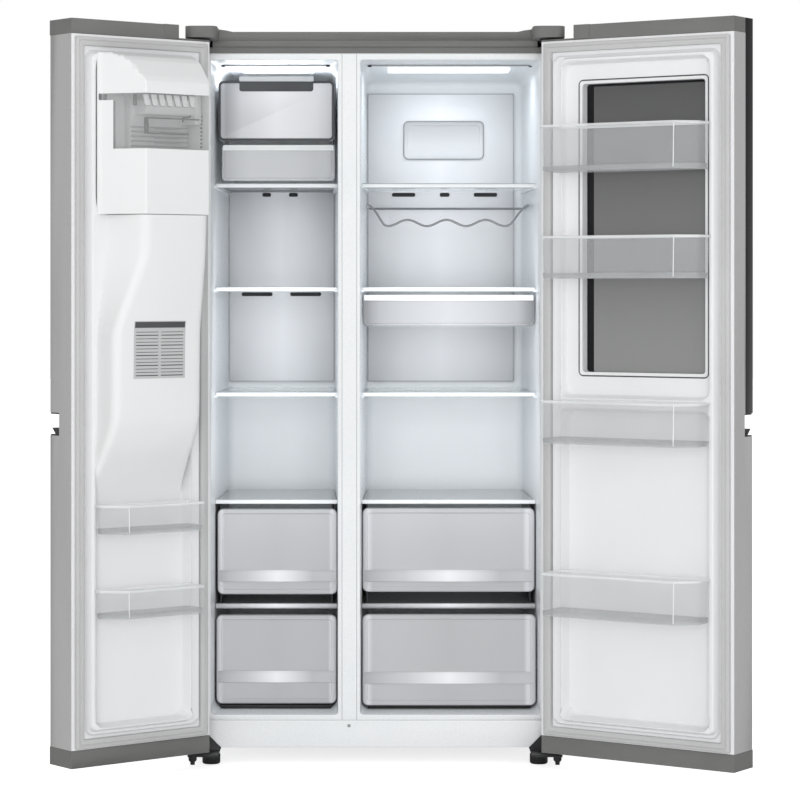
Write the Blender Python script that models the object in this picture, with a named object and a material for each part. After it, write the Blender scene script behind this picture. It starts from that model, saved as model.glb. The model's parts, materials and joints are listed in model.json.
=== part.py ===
"""A side by side refrigerator with both doors standing open.

Cabinet coordinates are used throughout: x runs across from the middle of the cabinet, y runs
back from the front edge of the case, z runs up from the floor. The empty "cabinet" then moves
the whole model so that the world origin is the middle of its footprint on the floor. Door
parts are modelled with the door shut and hang from an empty on the hinge line, which holds
the door's opening angle.
"""
import math

import bmesh
import bpy
from mathutils import Matrix, Vector

# ---- driving dimensions, metres ----
WIDTH = 0.913
HEIGHT = 1.790
CASE_DEPTH = 0.628
DOOR_THICKNESS = 0.095
DOOR_STANDOFF = 0.012      # gap from the case to a shut door, filled by its gasket
DOOR_SPLIT = -0.063        # x of the gap between the doors
DOOR_SIDE_GAP = 0.005
FLOOR_CLEARANCE = 0.042
CASE_TOP = 1.7485
BEAM_BACK = 0.105          # the grey beam covers the case's top this far back
FREEZER_OPENING = 141.5    # degrees each door stands open
FRIDGE_OPENING = 145.5
PIVOT_INSET = 0.016        # hinge line in from the door's hinge-side edge
PIVOT_FORWARD = 0.048      # hinge line in front of the door's inner face

# ---- walls and clearances ----
GAP = 0.0003               # between pieces that touch
SHEET = 0.0015             # steel skins
LINER = 0.003
HALF = WIDTH / 2
INSIDE_HALF = HALF - SHEET - GAP

# ---- compartments: (left, right) at the front of each ----
FREEZER_SIDES = (-0.400, -0.090)
FRIDGE_SIDES = (-0.0365, 0.4025)
FLANGE_DEPTH = 0.009
LINER_FRONT = FLANGE_DEPTH + GAP
LINER_BACK = 0.565
ROOM_FLOOR = 0.1216
ROOM_CEILING = 1.717
CEILING_FALL = 0.012       # the ceiling comes down this much to the back
WALL_TAPER = 0.015         # each side wall comes in this much to the back
MACHINE_ROOM_FRONT = 0.443
MACHINE_ROOM_TOP = 0.262
STEP_FRONT = 0.400         # the liners step forward over the machine room
STEP_TOP = 0.300

# ---- shelves and drawers ----
SHELF_FRONT = 0.130
SHELF_BACK = 0.545
SHELF_HEIGHTS = {"upper": 1.420, "middle": 1.163, "lower": 0.902}
SHELF_GLASS = 0.004
SHELF_TRIM = 0.016
COVER_HEIGHT = 0.635
DIVIDER_HEIGHT = 0.378

# ---- doors ----
DOOR_BOTTOM = 0.044
DOOR_TOP = 1.788
TOP_CAP = 0.035
BOTTOM_CAP = 0.0415
CAP_NOTCH = 0.090          # the cap is low this far from the hinge edge
CAP_NOTCH_TOP = 0.004      # height of the cap's low part
PIVOT_Y = -DOOR_STANDOFF - PIVOT_FORWARD
GROOVE_BOTTOM = 0.8157     # pocket handle across each door
GROOVE_TOP = 0.869
GROOVE_DEPTH = 0.041
GLASS_PANEL = 0.0375       # depth of the fridge door's black front
DOOR_SHELL = 0.016         # depth of the moulded inner liner before it is sunk or raised
FIELD_EDGE = 0.0345        # the liner's low field starts this far from both side edges
FIELD_HEIGHTS = (0.117, 1.716)
RIM_HINGE_EDGE = 0.0615    # the rim that enters the cabinet starts further in at the hinge
RIM_HEIGHTS = (0.126, 1.712)
PAN_HINGE_EDGE = 0.0705    # pans sunk inside the rim: in from the hinge edge
PAN_FREE_EDGE = 0.055      # and in from the free edge
BULGE = (0.124, 0.125)     # the ice system's front corner: in from the free edge, and height
FREEZER_BIN = (0.093, 0.100)   # bins' front corner: in from the free edge, and height
FREEZER_BIN_BASE = 0.043       # bins' back corner: in from the free edge
FRIDGE_BIN = (0.086, 0.130)
FRIDGE_BIN_BASE = 0.0445
WINDOW_PANE = (-0.0225, -0.0185)   # depths of the window's inner pane

PIN_RADIUS = 0.006
PIN_HOLE = 0.007

# colour, roughness, metallic
FINISHES = {
    "steel": ((0.55, 0.55, 0.54), 0.32, 1.0),
    "brushed": ((0.70, 0.71, 0.72), 0.35, 1.0),
    "silver": ((0.62, 0.62, 0.63), 0.30, 1.0),
    "grey_plastic": ((0.16, 0.16, 0.155), 0.45, 0.0),
    "white_plastic": ((0.82, 0.84, 0.85), 0.35, 0.0),
    "white_paint": ((0.84, 0.86, 0.87), 0.30, 0.0),
    "clear": ((0.80, 0.84, 0.86), 0.08, 0.0),
    "gasket": ((0.55, 0.55, 0.54), 0.60, 0.0),
    "black": ((0.012, 0.012, 0.013), 0.40, 0.0),
    "black_glass": ((0.010, 0.010, 0.012), 0.06, 0.0),
    "foam": ((0.75, 0.68, 0.45), 0.90, 0.0),
}


# ---------------------------------------------------------------- shapes

def loft(rings, closed=False):
    """Skin a list of rings of points; the ends are capped unless the rings close up."""
    count = len(rings[0])
    points = [point for ring in rings for point in ring]
    spans = len(rings) if closed else len(rings) - 1
    faces = []
    for level in range(spans):
        low = level * count
        high = (level + 1) % len(rings) * count
        for i in range(count):
            j = (i + 1) % count
            faces.append((low + i, low + j, high + j, high + i))
    if not closed:
        faces.append(tuple(range(count)))
        faces.append(tuple(range(len(points) - count, len(points))))
    return points, faces


def place(a, b, along, axis):
    """A point from two outline coordinates and one along the axis, in x, y, z order."""
    return {"x": (along, a, b), "y": (a, along, b), "z": (a, b, along)}[axis]


def prism(outline, axis, low, high):
    return loft([[place(a, b, level, axis) for a, b in outline] for level in (low, high)])


def box(x, y, z):
    return prism([(x[0], y[0]), (x[1], y[0]), (x[1], y[1]), (x[0], y[1])], "z", z[0], z[1])


def arc(centre, radius, start, end, steps):
    """Points along an arc, angles in degrees."""
    angles = [math.radians(start + (end - start) * i / steps) for i in range(steps + 1)]
    return [(centre[0] + radius * math.cos(a), centre[1] + radius * math.sin(a)) for a in angles]


def rounded(a, b, radius, steps=3):
    """A rectangle's outline with rounded corners."""
    (left, right), (low, high) = a, b
    corners = [(right - radius, high - radius, 0), (left + radius, high - radius, 90),
               (left + radius, low + radius, 180), (right - radius, low + radius, 270)]
    return [point for x, y, start in corners
            for point in arc((x, y), radius, start, start + 90, steps)]


def turned(profile, centre, sides=24):
    """A solid of revolution about a vertical line, from (radius, height) pairs."""
    return loft([[(x, y, height) for x, y in arc(centre, radius, 0, 360, sides)[:-1]]
                 for radius, height in profile])


def rod(centre, radius, axis, low, high, sides=16):
    return prism(arc(centre, radius, 0, 360, sides)[:-1], axis, low, high)


def wire_loop(path, radius, sides=6):
    """A round wire along a closed path that never runs straight up."""
    rings = []
    for i, point in enumerate(path):
        along = (Vector(path[(i + 1) % len(path)]) - Vector(path[i - 1])).normalized()
        across = along.cross(Vector((0, 0, 1))).normalized()
        up = across.cross(along)
        rings.append([tuple(Vector(point) + radius * (math.cos(a) * across + math.sin(a) * up))
                      for a in (2 * math.pi * k / sides for k in range(sides))])
    return loft(rings, closed=True)


# ---------------------------------------------------------------- objects

def finish(name):
    """The material of that name, made the first time it is asked for."""
    if name in bpy.data.materials:
        return bpy.data.materials[name]
    colour, roughness, metallic = FINISHES[name]
    material = bpy.data.materials.new(name)
    material.use_nodes = True
    shader = material.node_tree.nodes["Principled BSDF"]
    shader.inputs["Base Color"].default_value = (*colour, 1.0)
    shader.inputs["Roughness"].default_value = roughness
    shader.inputs["Metallic"].default_value = metallic
    return material


def mesh_object(name, shape, hang, origin):
    """One solid, with its own origin, hung from an empty."""
    points, faces = shape
    mesh = bpy.data.meshes.new(name)
    mesh.from_pydata([Vector(point) - origin for point in points], [], faces)
    solid = bmesh.new()
    solid.from_mesh(mesh)
    bmesh.ops.recalc_face_normals(solid, faces=solid.faces)
    solid.to_mesh(mesh)
    solid.free()
    thing = bpy.data.objects.new(name, mesh)
    bpy.context.scene.collection.objects.link(thing)
    thing.parent = hang
    thing.location = origin - hang_point(hang)
    return thing


def hang_point(hang):
    """Where an empty sits in cabinet coordinates."""
    return Vector(hang["at"])


def middle(shape):
    """The centre of a shape's box."""
    points = shape[0]
    return Vector([(min(p[i] for p in points) + max(p[i] for p in points)) / 2 for i in range(3)])


def piece(name, look, hang, shapes, cuts=(), origin=None, smooth=False):
    """A named part: the first shape, with the other shapes joined on and the cuts taken out."""
    origin = Vector(origin) if origin else middle(shapes[0])
    part = mesh_object(name, shapes[0], hang, origin)
    part.data.materials.append(finish(look))
    steps = [("UNION", shape) for shape in shapes[1:]] + [("DIFFERENCE", cut) for cut in cuts]
    for number, (operation, shape) in enumerate(steps):
        tool = mesh_object(f"{name}_tool_{number}", shape, hang, origin)
        tool.hide_render = True
        tool.display_type = "WIRE"
        boolean = part.modifiers.new(f"{operation} {number}", "BOOLEAN")
        boolean.operation = operation
        boolean.object = tool
    if smooth:
        part.data.shade_smooth()
        part.data.set_sharp_from_angle(angle=math.radians(35))
    return part


def empty(name, at, hang=None, turn=0.0):
    """An empty to hang parts from, turned about the vertical."""
    holder = bpy.data.objects.new(name, None)
    bpy.context.scene.collection.objects.link(holder)
    holder["at"] = at
    holder.parent = hang
    holder.location = Vector(at) - (hang_point(hang) if hang else Vector())
    holder.rotation_euler.z = math.radians(turn)
    return holder


# ---------------------------------------------------------------- cabinet

def wall(sides, y, clear=0.0):
    """The two side walls' x at a depth, drawn in by a clearance."""
    come_in = WALL_TAPER * (y - LINER_FRONT) / (LINER_BACK - LINER_FRONT) + clear
    return sides[0] + come_in, sides[1] - come_in


def room_profile(grow, front):
    """Side view of a compartment, (y, z): it steps forward over the machine room."""
    return [(front, ROOM_FLOOR - grow), (STEP_FRONT + grow, ROOM_FLOOR - grow),
            (STEP_FRONT + grow, STEP_TOP - 0.03 - grow), (STEP_FRONT + 0.03, STEP_TOP - grow),
            (LINER_BACK + grow, STEP_TOP - grow),
            (LINER_BACK + grow, ROOM_CEILING - CEILING_FALL + grow),
            (front, ROOM_CEILING + grow)]


def room(sides, grow, front):
    """A compartment's space, grown outwards on every side but the front."""
    profile = room_profile(grow, front)
    return loft([[(wall(sides, y, -grow)[side], y, z) for y, z in profile] for side in (0, 1)])


def shelf_outline(sides, front, back, clear=0.001):
    """Plan of a shelf that follows the tapered walls."""
    left, right = wall(sides, front, clear)
    back_left, back_right = wall(sides, back, clear)
    return [(left, front), (right, front), (back_right, back), (back_left, back)]


def build_case(root):
    """Steel case, back, base, foam, white front flange and the liners."""
    outer = [(-HALF, FLOOR_CLEARANCE), (-HALF, CASE_TOP), (HALF, CASE_TOP),
             (HALF, FLOOR_CLEARANCE)]
    inner = [(HALF - SHEET, FLOOR_CLEARANCE), (HALF - SHEET, CASE_TOP - SHEET),
             (-HALF + SHEET, CASE_TOP - SHEET), (-HALF + SHEET, FLOOR_CLEARANCE)]
    skirt_notch = box((-HALF + SHEET, HALF - SHEET), (-0.01, FLANGE_DEPTH + GAP), (1.74, 1.76))
    beam_seat = box((-0.5, 0.5), (-0.01, BEAM_BACK + 0.001), (CASE_TOP - 0.001, 1.76))
    piece("outer_case", "steel", root, [prism(outer + inner, "y", 0, CASE_DEPTH)],
          [skirt_notch, beam_seat])

    louvres = [box((x, x + 0.05), (0.61, 0.64), (z, z + 0.008))
               for x in (-0.20, -0.10, 0.0) for z in (0.10, 0.13, 0.16)]
    piece("back_panel", "steel", root,
          [box((-INSIDE_HALF, INSIDE_HALF), (0.6245, 0.6265), (0.046, CASE_TOP - 0.004))], louvres)

    build_base(root)
    rooms = [room(sides, LINER + GAP, LINER_FRONT - 0.01)
             for sides in (FREEZER_SIDES, FRIDGE_SIDES)]
    machine_room = box((-0.5, 0.5), (MACHINE_ROOM_FRONT, 0.7), (0, MACHINE_ROOM_TOP))
    piece("insulation", "foam", root,
          [box((-INSIDE_HALF, INSIDE_HALF), (LINER_FRONT, 0.624), (0.046, CASE_TOP - 0.002))],
          [machine_room] + rooms)

    for name, sides in (("freezer_liner", FREEZER_SIDES), ("fridge_liner", FRIDGE_SIDES)):
        piece(name, "white_plastic", root, [room(sides, LINER, LINER_FRONT)],
              [room(sides, 0, LINER_FRONT - 0.01)])

    windows = [prism(rounded(sides, (ROOM_FLOOR, ROOM_CEILING), 0.008), "y", -0.01, 0.02)
               for sides in (FREEZER_SIDES, FRIDGE_SIDES)]
    piece("front_flange", "white_paint", root,
          [box((-INSIDE_HALF, INSIDE_HALF), (0, FLANGE_DEPTH), (0.1085, 1.7322))], windows)
    kick = [(-0.375, 0.0422), (0.375, 0.0422), (0.405, 0.0722), (INSIDE_HALF, 0.0722),
            (INSIDE_HALF, 0.1082), (-INSIDE_HALF, 0.1082), (-INSIDE_HALF, 0.0722),
            (-0.405, 0.0722)]
    piece("kick_panel", "white_paint", root, [prism(kick, "y", 0, FLANGE_DEPTH)])


def build_base(root):
    """Base pan with ears that carry the rear rollers, and the compressor on it."""
    pan = box((-INSIDE_HALF, INSIDE_HALF), (0.024, 0.624), (FLOOR_CLEARANCE, 0.0445))
    ears = [box((x - 0.0015, x + 0.0015), (0.575, 0.595), (0.008, 0.0435))
            for side in (-1, 1) for x in (side * 0.384, side * 0.416)]
    axle_holes = [rod((0.585, 0.0195), 0.0045, "x", side * 0.37, side * 0.43)
                  for side in (-1, 1)]
    piece("base_pan", "steel", root, [pan] + ears, axle_holes)
    shell = [(0.078, 0.050), (0.078, 0.056), (0.066, 0.060), (0.070, 0.110), (0.070, 0.160),
             (0.060, 0.190), (0.035, 0.204), (0.010, 0.208)]
    piece("compressor", "black", root, [turned(shell, (0.250, 0.535), 20)], smooth=True)


def build_top_cover(root):
    """Grey beam across the top, with a rounded cover over each upper hinge."""
    beam = box((-HALF, HALF), (-0.008, BEAM_BACK), (CASE_TOP - 0.0004, 1.784))
    skirt = box((-HALF + SHEET + GAP, HALF - SHEET - GAP), (GAP, FLANGE_DEPTH - GAP),
                (1.7325, 1.755))
    shapes = [beam, skirt]
    cavities = []
    for side in (-1, 1):
        outline = [(0.4563, 0.09), (0.4563, -0.087)] + arc((0.4363, -0.087), 0.020, 0, -90, 4)
        outline += arc((0.400, -0.087), 0.020, 270, 180, 4) + [(0.380, 0.09)]
        shapes.append(prism([(side * x, y) for x, y in outline], "z", 1.7625, HEIGHT))
        slope = [(0.370, 1.770), (0.4563, 1.770), (0.4563, HEIGHT), (0.380, HEIGHT),
                 (0.362, 1.7875), (0.345, 1.7835), (0.345, 1.770)]
        shapes.append(prism([(side * x, z) for x, z in slope], "y", -0.0078, 0.0902))
        cavities.append(box(sorted((side * 0.395, side * 0.4525)), (-0.02, 0.075),
                            (1.7470, 1.7623)))
    piece("top_cover", "grey_plastic", root, shapes, cavities)


def build_hinges(root):
    """Upper arms and lower brackets that the doors hang on, and the levelling feet."""
    for side, name in ((-1, "left"), (1, "right")):
        pivot = (side * (HALF - PIVOT_INSET), PIVOT_Y)
        span = sorted((side * 0.3985, side * 0.4490))
        arm = box(span, (PIVOT_Y - 0.012, 0.070), (1.7580, 1.7618))
        foot = box(span, (0.030, 0.070), (CASE_TOP + GAP, 1.7600))
        piece(f"upper_hinge_{name}", "black", root,
              [arm, foot, rod(pivot, PIN_RADIUS, "z", 1.715, 1.7600)])

        bracket = box(sorted((side * 0.3785, side * 0.452)), (PIVOT_Y - 0.014, 0.090),
                      (0.0300, 0.0350))
        tab_outline = [(0.3785, 0.034), (0.452, 0.034), (0.452, 0.0716), (0.4055, 0.0716),
                       (0.3785, 0.0446)]
        tab = prism([(side * x, z) for x, z in tab_outline], "y", 0.0006, FLANGE_DEPTH - GAP)
        knob = turned([(0.0055, 0.010), (0.0055, 0.016), (0.0100, 0.021), (0.0100, 0.032)], pivot)
        stem_hole = rod((side * 0.400, 0.0225), 0.0066, "z", 0.02, 0.06)
        piece(f"lower_hinge_{name}", "black", root,
              [bracket, tab, knob, rod(pivot, PIN_RADIUS, "z", 0.034, 0.075)], [stem_hole])

        foot_profile = [(0.0195, 0.0), (0.0220, 0.003), (0.0220, 0.0230), (0.0205, 0.0250),
                        (0.0060, 0.0260), (0.0060, 0.0410)]
        piece(f"levelling_foot_{name}", "black", root,
              [turned(foot_profile, (side * 0.400, 0.0225))],
              origin=(side * 0.400, 0.0225, 0), smooth=True)

        wheel = rod((0.585, 0.0195), 0.0195, "x", side * 0.387, side * 0.413, 20)
        axle = rod((0.585, 0.0195), 0.0039, "x", side * 0.380, side * 0.420, 12)
        piece(f"rear_roller_{name}", "black", root, [wheel, axle],
              origin=(side * 0.400, 0.585, 0.0195))


def build_shelves(root):
    """Three glass shelves on each side, with a trim along the front."""
    for room_name, sides in (("freezer", FREEZER_SIDES), ("fridge", FRIDGE_SIDES)):
        for level, top in SHELF_HEIGHTS.items():
            glass = prism(shelf_outline(sides, SHELF_FRONT, SHELF_BACK), "z",
                          top - SHELF_GLASS, top)
            trim = prism(shelf_outline(sides, SHELF_FRONT, SHELF_FRONT + 0.012), "z",
                         top - SHELF_TRIM, top + 0.001)
            piece(f"{room_name}_shelf_{level}", "clear", root, [glass, trim])


def build_drawer_frame(root, name, sides):
    """Glass cover over a compartment's drawers, the divider between them and its side legs."""
    shapes = []
    for top, back in ((COVER_HEIGHT, SHELF_BACK), (DIVIDER_HEIGHT, SHELF_BACK)):
        shapes.append(prism(shelf_outline(sides, SHELF_FRONT, SHELF_FRONT + 0.014), "z",
                            top - SHELF_TRIM, top))
        shapes.append(prism(shelf_outline(sides, SHELF_FRONT + 0.006, back), "z",
                            top - 0.007, top - 0.001))
    left, right = wall(sides, SHELF_BACK, 0.0015)
    for x in (left, right - LINER):
        shapes.append(box((x, x + LINER), (0.146, 0.530), (DIVIDER_HEIGHT - 0.006,
                                                         COVER_HEIGHT - 0.002)))
    piece(name, "clear", root, shapes)


def drawer(name, hang, x, y, z, inset, front=0.010, step=0.030):
    """An open-topped drawer: a wide front panel and a narrower box behind it."""
    left, right = x[0] + inset, x[1] - inset
    body = box((left, right), (y[0] + 0.004, y[1]), (z[0] + 0.003, z[1] - step))
    panel = box(x, (y[0], y[0] + front), z)
    hollow = box((left + LINER, right - LINER), (y[0] + front, y[1] - LINER),
                 (z[0] + 0.006, z[1] + 0.01))
    piece(name, "clear", hang, [panel, body], [hollow], origin=(sum(x) / 2, y[0], z[0]))


def build_drawers(root):
    """Sliding drawers, the utility box and the ice bin."""
    drawer("freezer_drawer_upper", root, (-0.3906, -0.0943), (0.128, 0.525), (0.401, 0.613),
           0.018)
    drawer("freezer_drawer_lower", root, (-0.3925, -0.0955), (0.110, 0.385), (0.1325, 0.352),
           0.012)
    drawer("fridge_drawer_upper", root, (-0.0310, 0.3960), (0.128, 0.525), (0.407, 0.615),
           0.018)
    drawer("fridge_drawer_lower", root, (-0.0310, 0.3965), (0.085, 0.385), (0.1315, 0.356),
           0.012)
    drawer("utility_box", root, (-0.0300, 0.3960), (0.128, 0.480), (1.066, 1.1440), 0.012,
           step=0.004)
    drawer("ice_bin", root, (-0.3800, -0.1000), (0.128, 0.500), (1.4265, 1.5160), 0.008,
           step=0.006)


def build_fittings(root):
    """Air ducts, the ice compartment, the wine rack and the humidity slide."""
    vents = [box((x, x + width), (0.53, 0.60), (z, z + 0.009))
             for x, z, width in ((-0.295, 1.4015, 0.021), (-0.2255, 1.4015, 0.022),
                                 (-0.350, 1.1405, 0.080), (-0.222, 1.1405, 0.080))]
    piece("freezer_air_duct", "brushed", root,
          [box((-0.3840, -0.1062), (0.5475, 0.5645), (0.915, 1.4150))], vents)
    vents = [box((x, x + width), (0.53, 0.60), (1.4015, 1.4105))
             for x, width in ((0.045, 0.060), (0.171, 0.024), (0.260, 0.060))]
    piece("fridge_air_duct", "brushed", root,
          [box((-0.0200, 0.3650), (0.5475, 0.5645), (0.915, 1.672))], vents)

    front = prism(rounded((-0.3880, -0.1010), (1.5260, 1.6740), 0.010), "y", 0.126, 0.142)
    body = box((-0.3840, -0.1060), (0.138, 0.480), (1.5270, 1.6720))
    hollow = box((-0.3780, -0.1120), (0.145, 0.474), (1.50, 1.664))
    grip = box((-0.335, -0.155), (0.110, 0.134), (1.645, 1.70))
    piece("ice_compartment", "white_plastic", root, [front, body], [hollow, grip])

    low, high, waves, steps = 1.312, 1.330, 4, 28
    front = [(-0.018 + 0.402 * i / steps, 0.140,
              (low + high) / 2 + (high - low) / 2 * math.sin(2 * math.pi * waves * i / steps))
             for i in range(steps + 1)]
    arms = [(0.388, 0.150, 1.350), (0.388, 0.300, 1.366), (0.386, 0.480, 1.372)]
    back = [(0.300, 0.500, 1.372), (0.066, 0.500, 1.372)]
    path = front + arms + back + [(-0.020, y, z) for x, y, z in reversed(arms)]
    piece("wine_rack", "silver", root, [wire_loop(path, 0.0035)], smooth=True)

    piece("humidity_slider", "grey_plastic", root,
          [box((0.120, 0.185), (0.1245, 0.1297), (0.6260, 0.6330)),
           box((0.150, 0.155), (0.1215, 0.1260), (0.6260, 0.6330))],
          origin=(0.1525, 0.1297, 0.6295))


# ---------------------------------------------------------------- doors

class Door:
    """One door: turns (u, v, z) into cabinet coordinates of the shut door.

    u is the distance from the hinge-side edge and v the distance from the inner face towards
    the cabinet, so the outer face is at v = -DOOR_THICKNESS.
    """

    def __init__(self, name, side, opening, root):
        self.name = name
        self.side = side
        self.width = HALF - side * DOOR_SPLIT - DOOR_SIDE_GAP / 2
        pivot = (side * (HALF - PIVOT_INSET), PIVOT_Y, 0.0)
        self.hang = empty(f"{name}_hinge_line", pivot, root, side * opening)

    def x(self, u):
        return self.side * (HALF - u)

    def xy(self, u, v):
        return self.x(u), v - DOOR_STANDOFF

    def block(self, u, v, z):
        corners = [self.xy(u[0], v[0]), self.xy(u[1], v[0]), self.xy(u[1], v[1]),
                   self.xy(u[0], v[1])]
        return prism(corners, "z", *z)

    def plan(self, outline, z):
        """A prism standing on a (u, v) outline."""
        return prism([self.xy(u, v) for u, v in outline], "z", *z)

    def frontal(self, outline, v):
        """A prism through the door's thickness, from a (u, z) outline."""
        return prism([(self.x(u), z) for u, z in outline], "y", v[0] - DOOR_STANDOFF,
                     v[1] - DOOR_STANDOFF)

    def across(self, outline, u):
        """A prism across the door's width, from a (v, z) outline."""
        return prism([(v - DOOR_STANDOFF, z) for v, z in outline], "x", self.x(u[0]),
                     self.x(u[1]))

    def stack(self, levels):
        """A bulge on the inner face, from (z, hinge side, front, base, height) levels."""
        return loft([[(*self.xy(u, v), z) for u, v in
                      ((hinge, -0.002), (hinge, rise), (front, rise), (base, -0.002))]
                     for z, hinge, front, base, rise in levels])

    def part(self, name, look, shapes, cuts=()):
        return piece(f"{self.name}_{name}", look, self.hang, shapes, cuts)

    def pin_hole(self, z):
        return rod(self.xy(PIVOT_INSET, -PIVOT_FORWARD), PIN_HOLE, "z", *z)


SKIN_TOP = DOOR_TOP - TOP_CAP - GAP
SKIN_BOTTOM = DOOR_BOTTOM + BOTTOM_CAP + GAP


def door_skin_outline(width):
    """Plan of a door's steel skin: its front and both sides, with rounded front corners."""
    front, round_off = -DOOR_THICKNESS, 0.004
    outer = [(0, -0.0015)] + arc((round_off, front + round_off), round_off, 180, 270, 2)
    outer += arc((width - round_off, front + round_off), round_off, 270, 360, 2)
    outer += [(width, -0.0015)]
    inner = [(width - SHEET, -0.0015), (width - SHEET, front + SHEET), (SHEET, front + SHEET),
             (SHEET, -0.0015)]
    return outer + inner


def build_door_common(door, front_cut, cap_depth):
    """Steel skin, top and bottom caps and gasket of one door."""
    width = door.width
    groove = door.block((-0.01, width + 0.01), (-0.12, GROOVE_DEPTH - DOOR_THICKNESS),
                        (GROOVE_BOTTOM, GROOVE_TOP))
    door.part("skin", "steel", [door.plan(door_skin_outline(width), (SKIN_BOTTOM, SKIN_TOP))],
              [groove] + front_cut)

    cap_bottom = DOOR_TOP - TOP_CAP
    cap = door.block((0, width), (-cap_depth, 0), (cap_bottom, DOOR_TOP))
    notch = door.block((-0.01, CAP_NOTCH), (-0.12, 0.01),
                       (cap_bottom + CAP_NOTCH_TOP, DOOR_TOP + 0.01))
    step = door.block((CAP_NOTCH, CAP_NOTCH + 0.042), (-0.020, 0.002),
                      (cap_bottom + 0.0015, DOOR_TOP + 0.0005))
    door.part("top_cap", "grey_plastic", [cap, step], [notch, door.pin_hole((1.70, 1.80))])
    bottom = door.block((0, width), (-DOOR_THICKNESS, 0), (DOOR_BOTTOM, DOOR_BOTTOM + BOTTOM_CAP))
    door.part("bottom_cap", "grey_plastic", [bottom], [door.pin_hole((0.03, 0.080))])

    outer = [(0.010, 0.0890), (width - 0.0085, 0.0890), (width - 0.0085, 1.7460),
             (0.010, 1.7460)]
    band = 0.022
    ring = door.frontal(outer, (GAP, 0.0115))
    inside = door.frontal([(0.010 + band, 0.0890 + band), (width - 0.0085 - band, 0.0890 + band),
                           (width - 0.0085 - band, 1.7460 - band), (0.010 + band, 1.7460 - band)],
                          (-0.01, 0.02))
    door.part("gasket", "gasket", [ring], [inside])


def liner_body(door):
    """Moulded liner: the tray that fits inside the skin and the lip over the skin's edge."""
    width = door.width
    edge = SHEET + GAP
    tray = door.block((edge, width - edge), (-DOOR_SHELL, -0.0005), (SKIN_BOTTOM, SKIN_TOP))
    lip = door.block((0.0002, width - 0.0002), (-0.0012, 0), (SKIN_BOTTOM, SKIN_TOP))
    return tray, lip


def raised_field(door):
    """The low field inside the gasket, and on it the rim that enters the cabinet."""
    free_edge = door.width - FIELD_EDGE
    field = door.frontal(rounded((FIELD_EDGE, free_edge), FIELD_HEIGHTS, 0.022),
                         (-0.002, 0.0105))
    rim = door.frontal(rounded((RIM_HINGE_EDGE, free_edge), RIM_HEIGHTS, 0.018), (0.0, 0.028))
    return field, rim


def recess(door, z, floor):
    """A rounded pan sunk inside the rim."""
    return door.frontal(rounded((PAN_HINGE_EDGE, door.width - PAN_FREE_EDGE), z, 0.018),
                        (floor, 0.05))


# The black channel that lines the pocket handle, a (v, z) outline with its finger lip.
CHANNEL = [(-0.0935, 0.8160), (-0.0543, 0.8160), (-0.0543, 0.8687), (-0.0935, 0.8687),
           (-0.0935, 0.8657), (-0.0573, 0.8657), (-0.0573, 0.8335), (-0.0880, 0.8335),
           (-0.0720, 0.8185), (-0.0935, 0.8185)]


def bin_outline(door, hinge, front, base, rise):
    """Plan of a door bin with a slanted corner on the free side."""
    free_front = door.width - front
    free_base = door.width - base
    return [(hinge, 0.0292), (hinge, rise - 0.010), (hinge + 0.010, rise), (free_front, rise),
            (free_base, rise - 0.045), (free_base, 0.0292)]


def door_bin(door, name, z, hinge, front, base, rise):
    """An open-topped bin on the door's inner face."""
    wall_thickness = 0.003
    outer = bin_outline(door, hinge, front, base, rise)
    inner = [(hinge + wall_thickness, 0.0292 + wall_thickness),
             (hinge + wall_thickness, rise - 0.011),
             (hinge + 0.011, rise - wall_thickness),
             (door.width - front - 0.0015, rise - wall_thickness),
             (door.width - base - wall_thickness, rise - 0.046),
             (door.width - base - wall_thickness, 0.0292 + wall_thickness)]
    door.part(name, "clear", [door.plan(outer, z)],
              [door.plan(inner, (z[0] + wall_thickness, z[1] + 0.01))])


def build_freezer_door(root):
    """Left door: ice maker above, a chute down to the dispenser, and two bins."""
    door = Door("freezer_door", -1, FREEZER_OPENING, root)
    width = door.width
    mouth = ((0.098, 0.298), (0.985, 1.355))
    front_cut = [door.block(mouth[0], (-0.12, -0.08), mouth[1])]
    build_door_common(door, front_cut, DOOR_THICKNESS)

    tray, lip = liner_body(door)
    field, rim = raised_field(door)
    pan = recess(door, (0.140, 0.690), -0.012)
    well = recess(door, (1.345, 1.695), -0.012)
    chute = [(0.700, 0.084, width - 0.048, width - 0.046, 0.0300),
             (0.790, 0.087, width - 0.050, width - 0.048, 0.0700),
             (0.850, 0.087, width - 0.057, width - 0.050, 0.0950),
             (1.060, 0.087, width - 0.057, width - 0.050, 0.0980),
             (1.230, 0.087, width - 0.122, width - 0.057, 0.1200),
             (1.331, 0.087, width - BULGE[0], width - 0.059, BULGE[1])]
    ends = (0.006, 0, 0, 0, 0, -0.004)
    hollow = [(z + end, hinge + 0.004, front - 0.005, base - 0.005, rise - 0.004)
              for (z, hinge, front, base, rise), end in zip(chute, ends)]
    behind = door.block((0.095, width - 0.064), (-0.03, 0.010), (0.715, 1.322))
    door.part("liner", "white_plastic", [tray, lip, field, rim, door.stack(chute)],
              [pan, well, door.stack(hollow), behind, door.pin_hole((1.70, 1.80))])
    door.part("handle_lining", "black", [door.across(CHANNEL, (0.002, width - 0.002))])

    build_ice_system(door)
    build_dispenser(door, mouth)
    for name, z in (("bin_upper", (0.589, 0.657)), ("bin_lower", (0.393, 0.460))):
        door_bin(door, name, z, 0.081, FREEZER_BIN[0], FREEZER_BIN_BASE, FREEZER_BIN[1])


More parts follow.
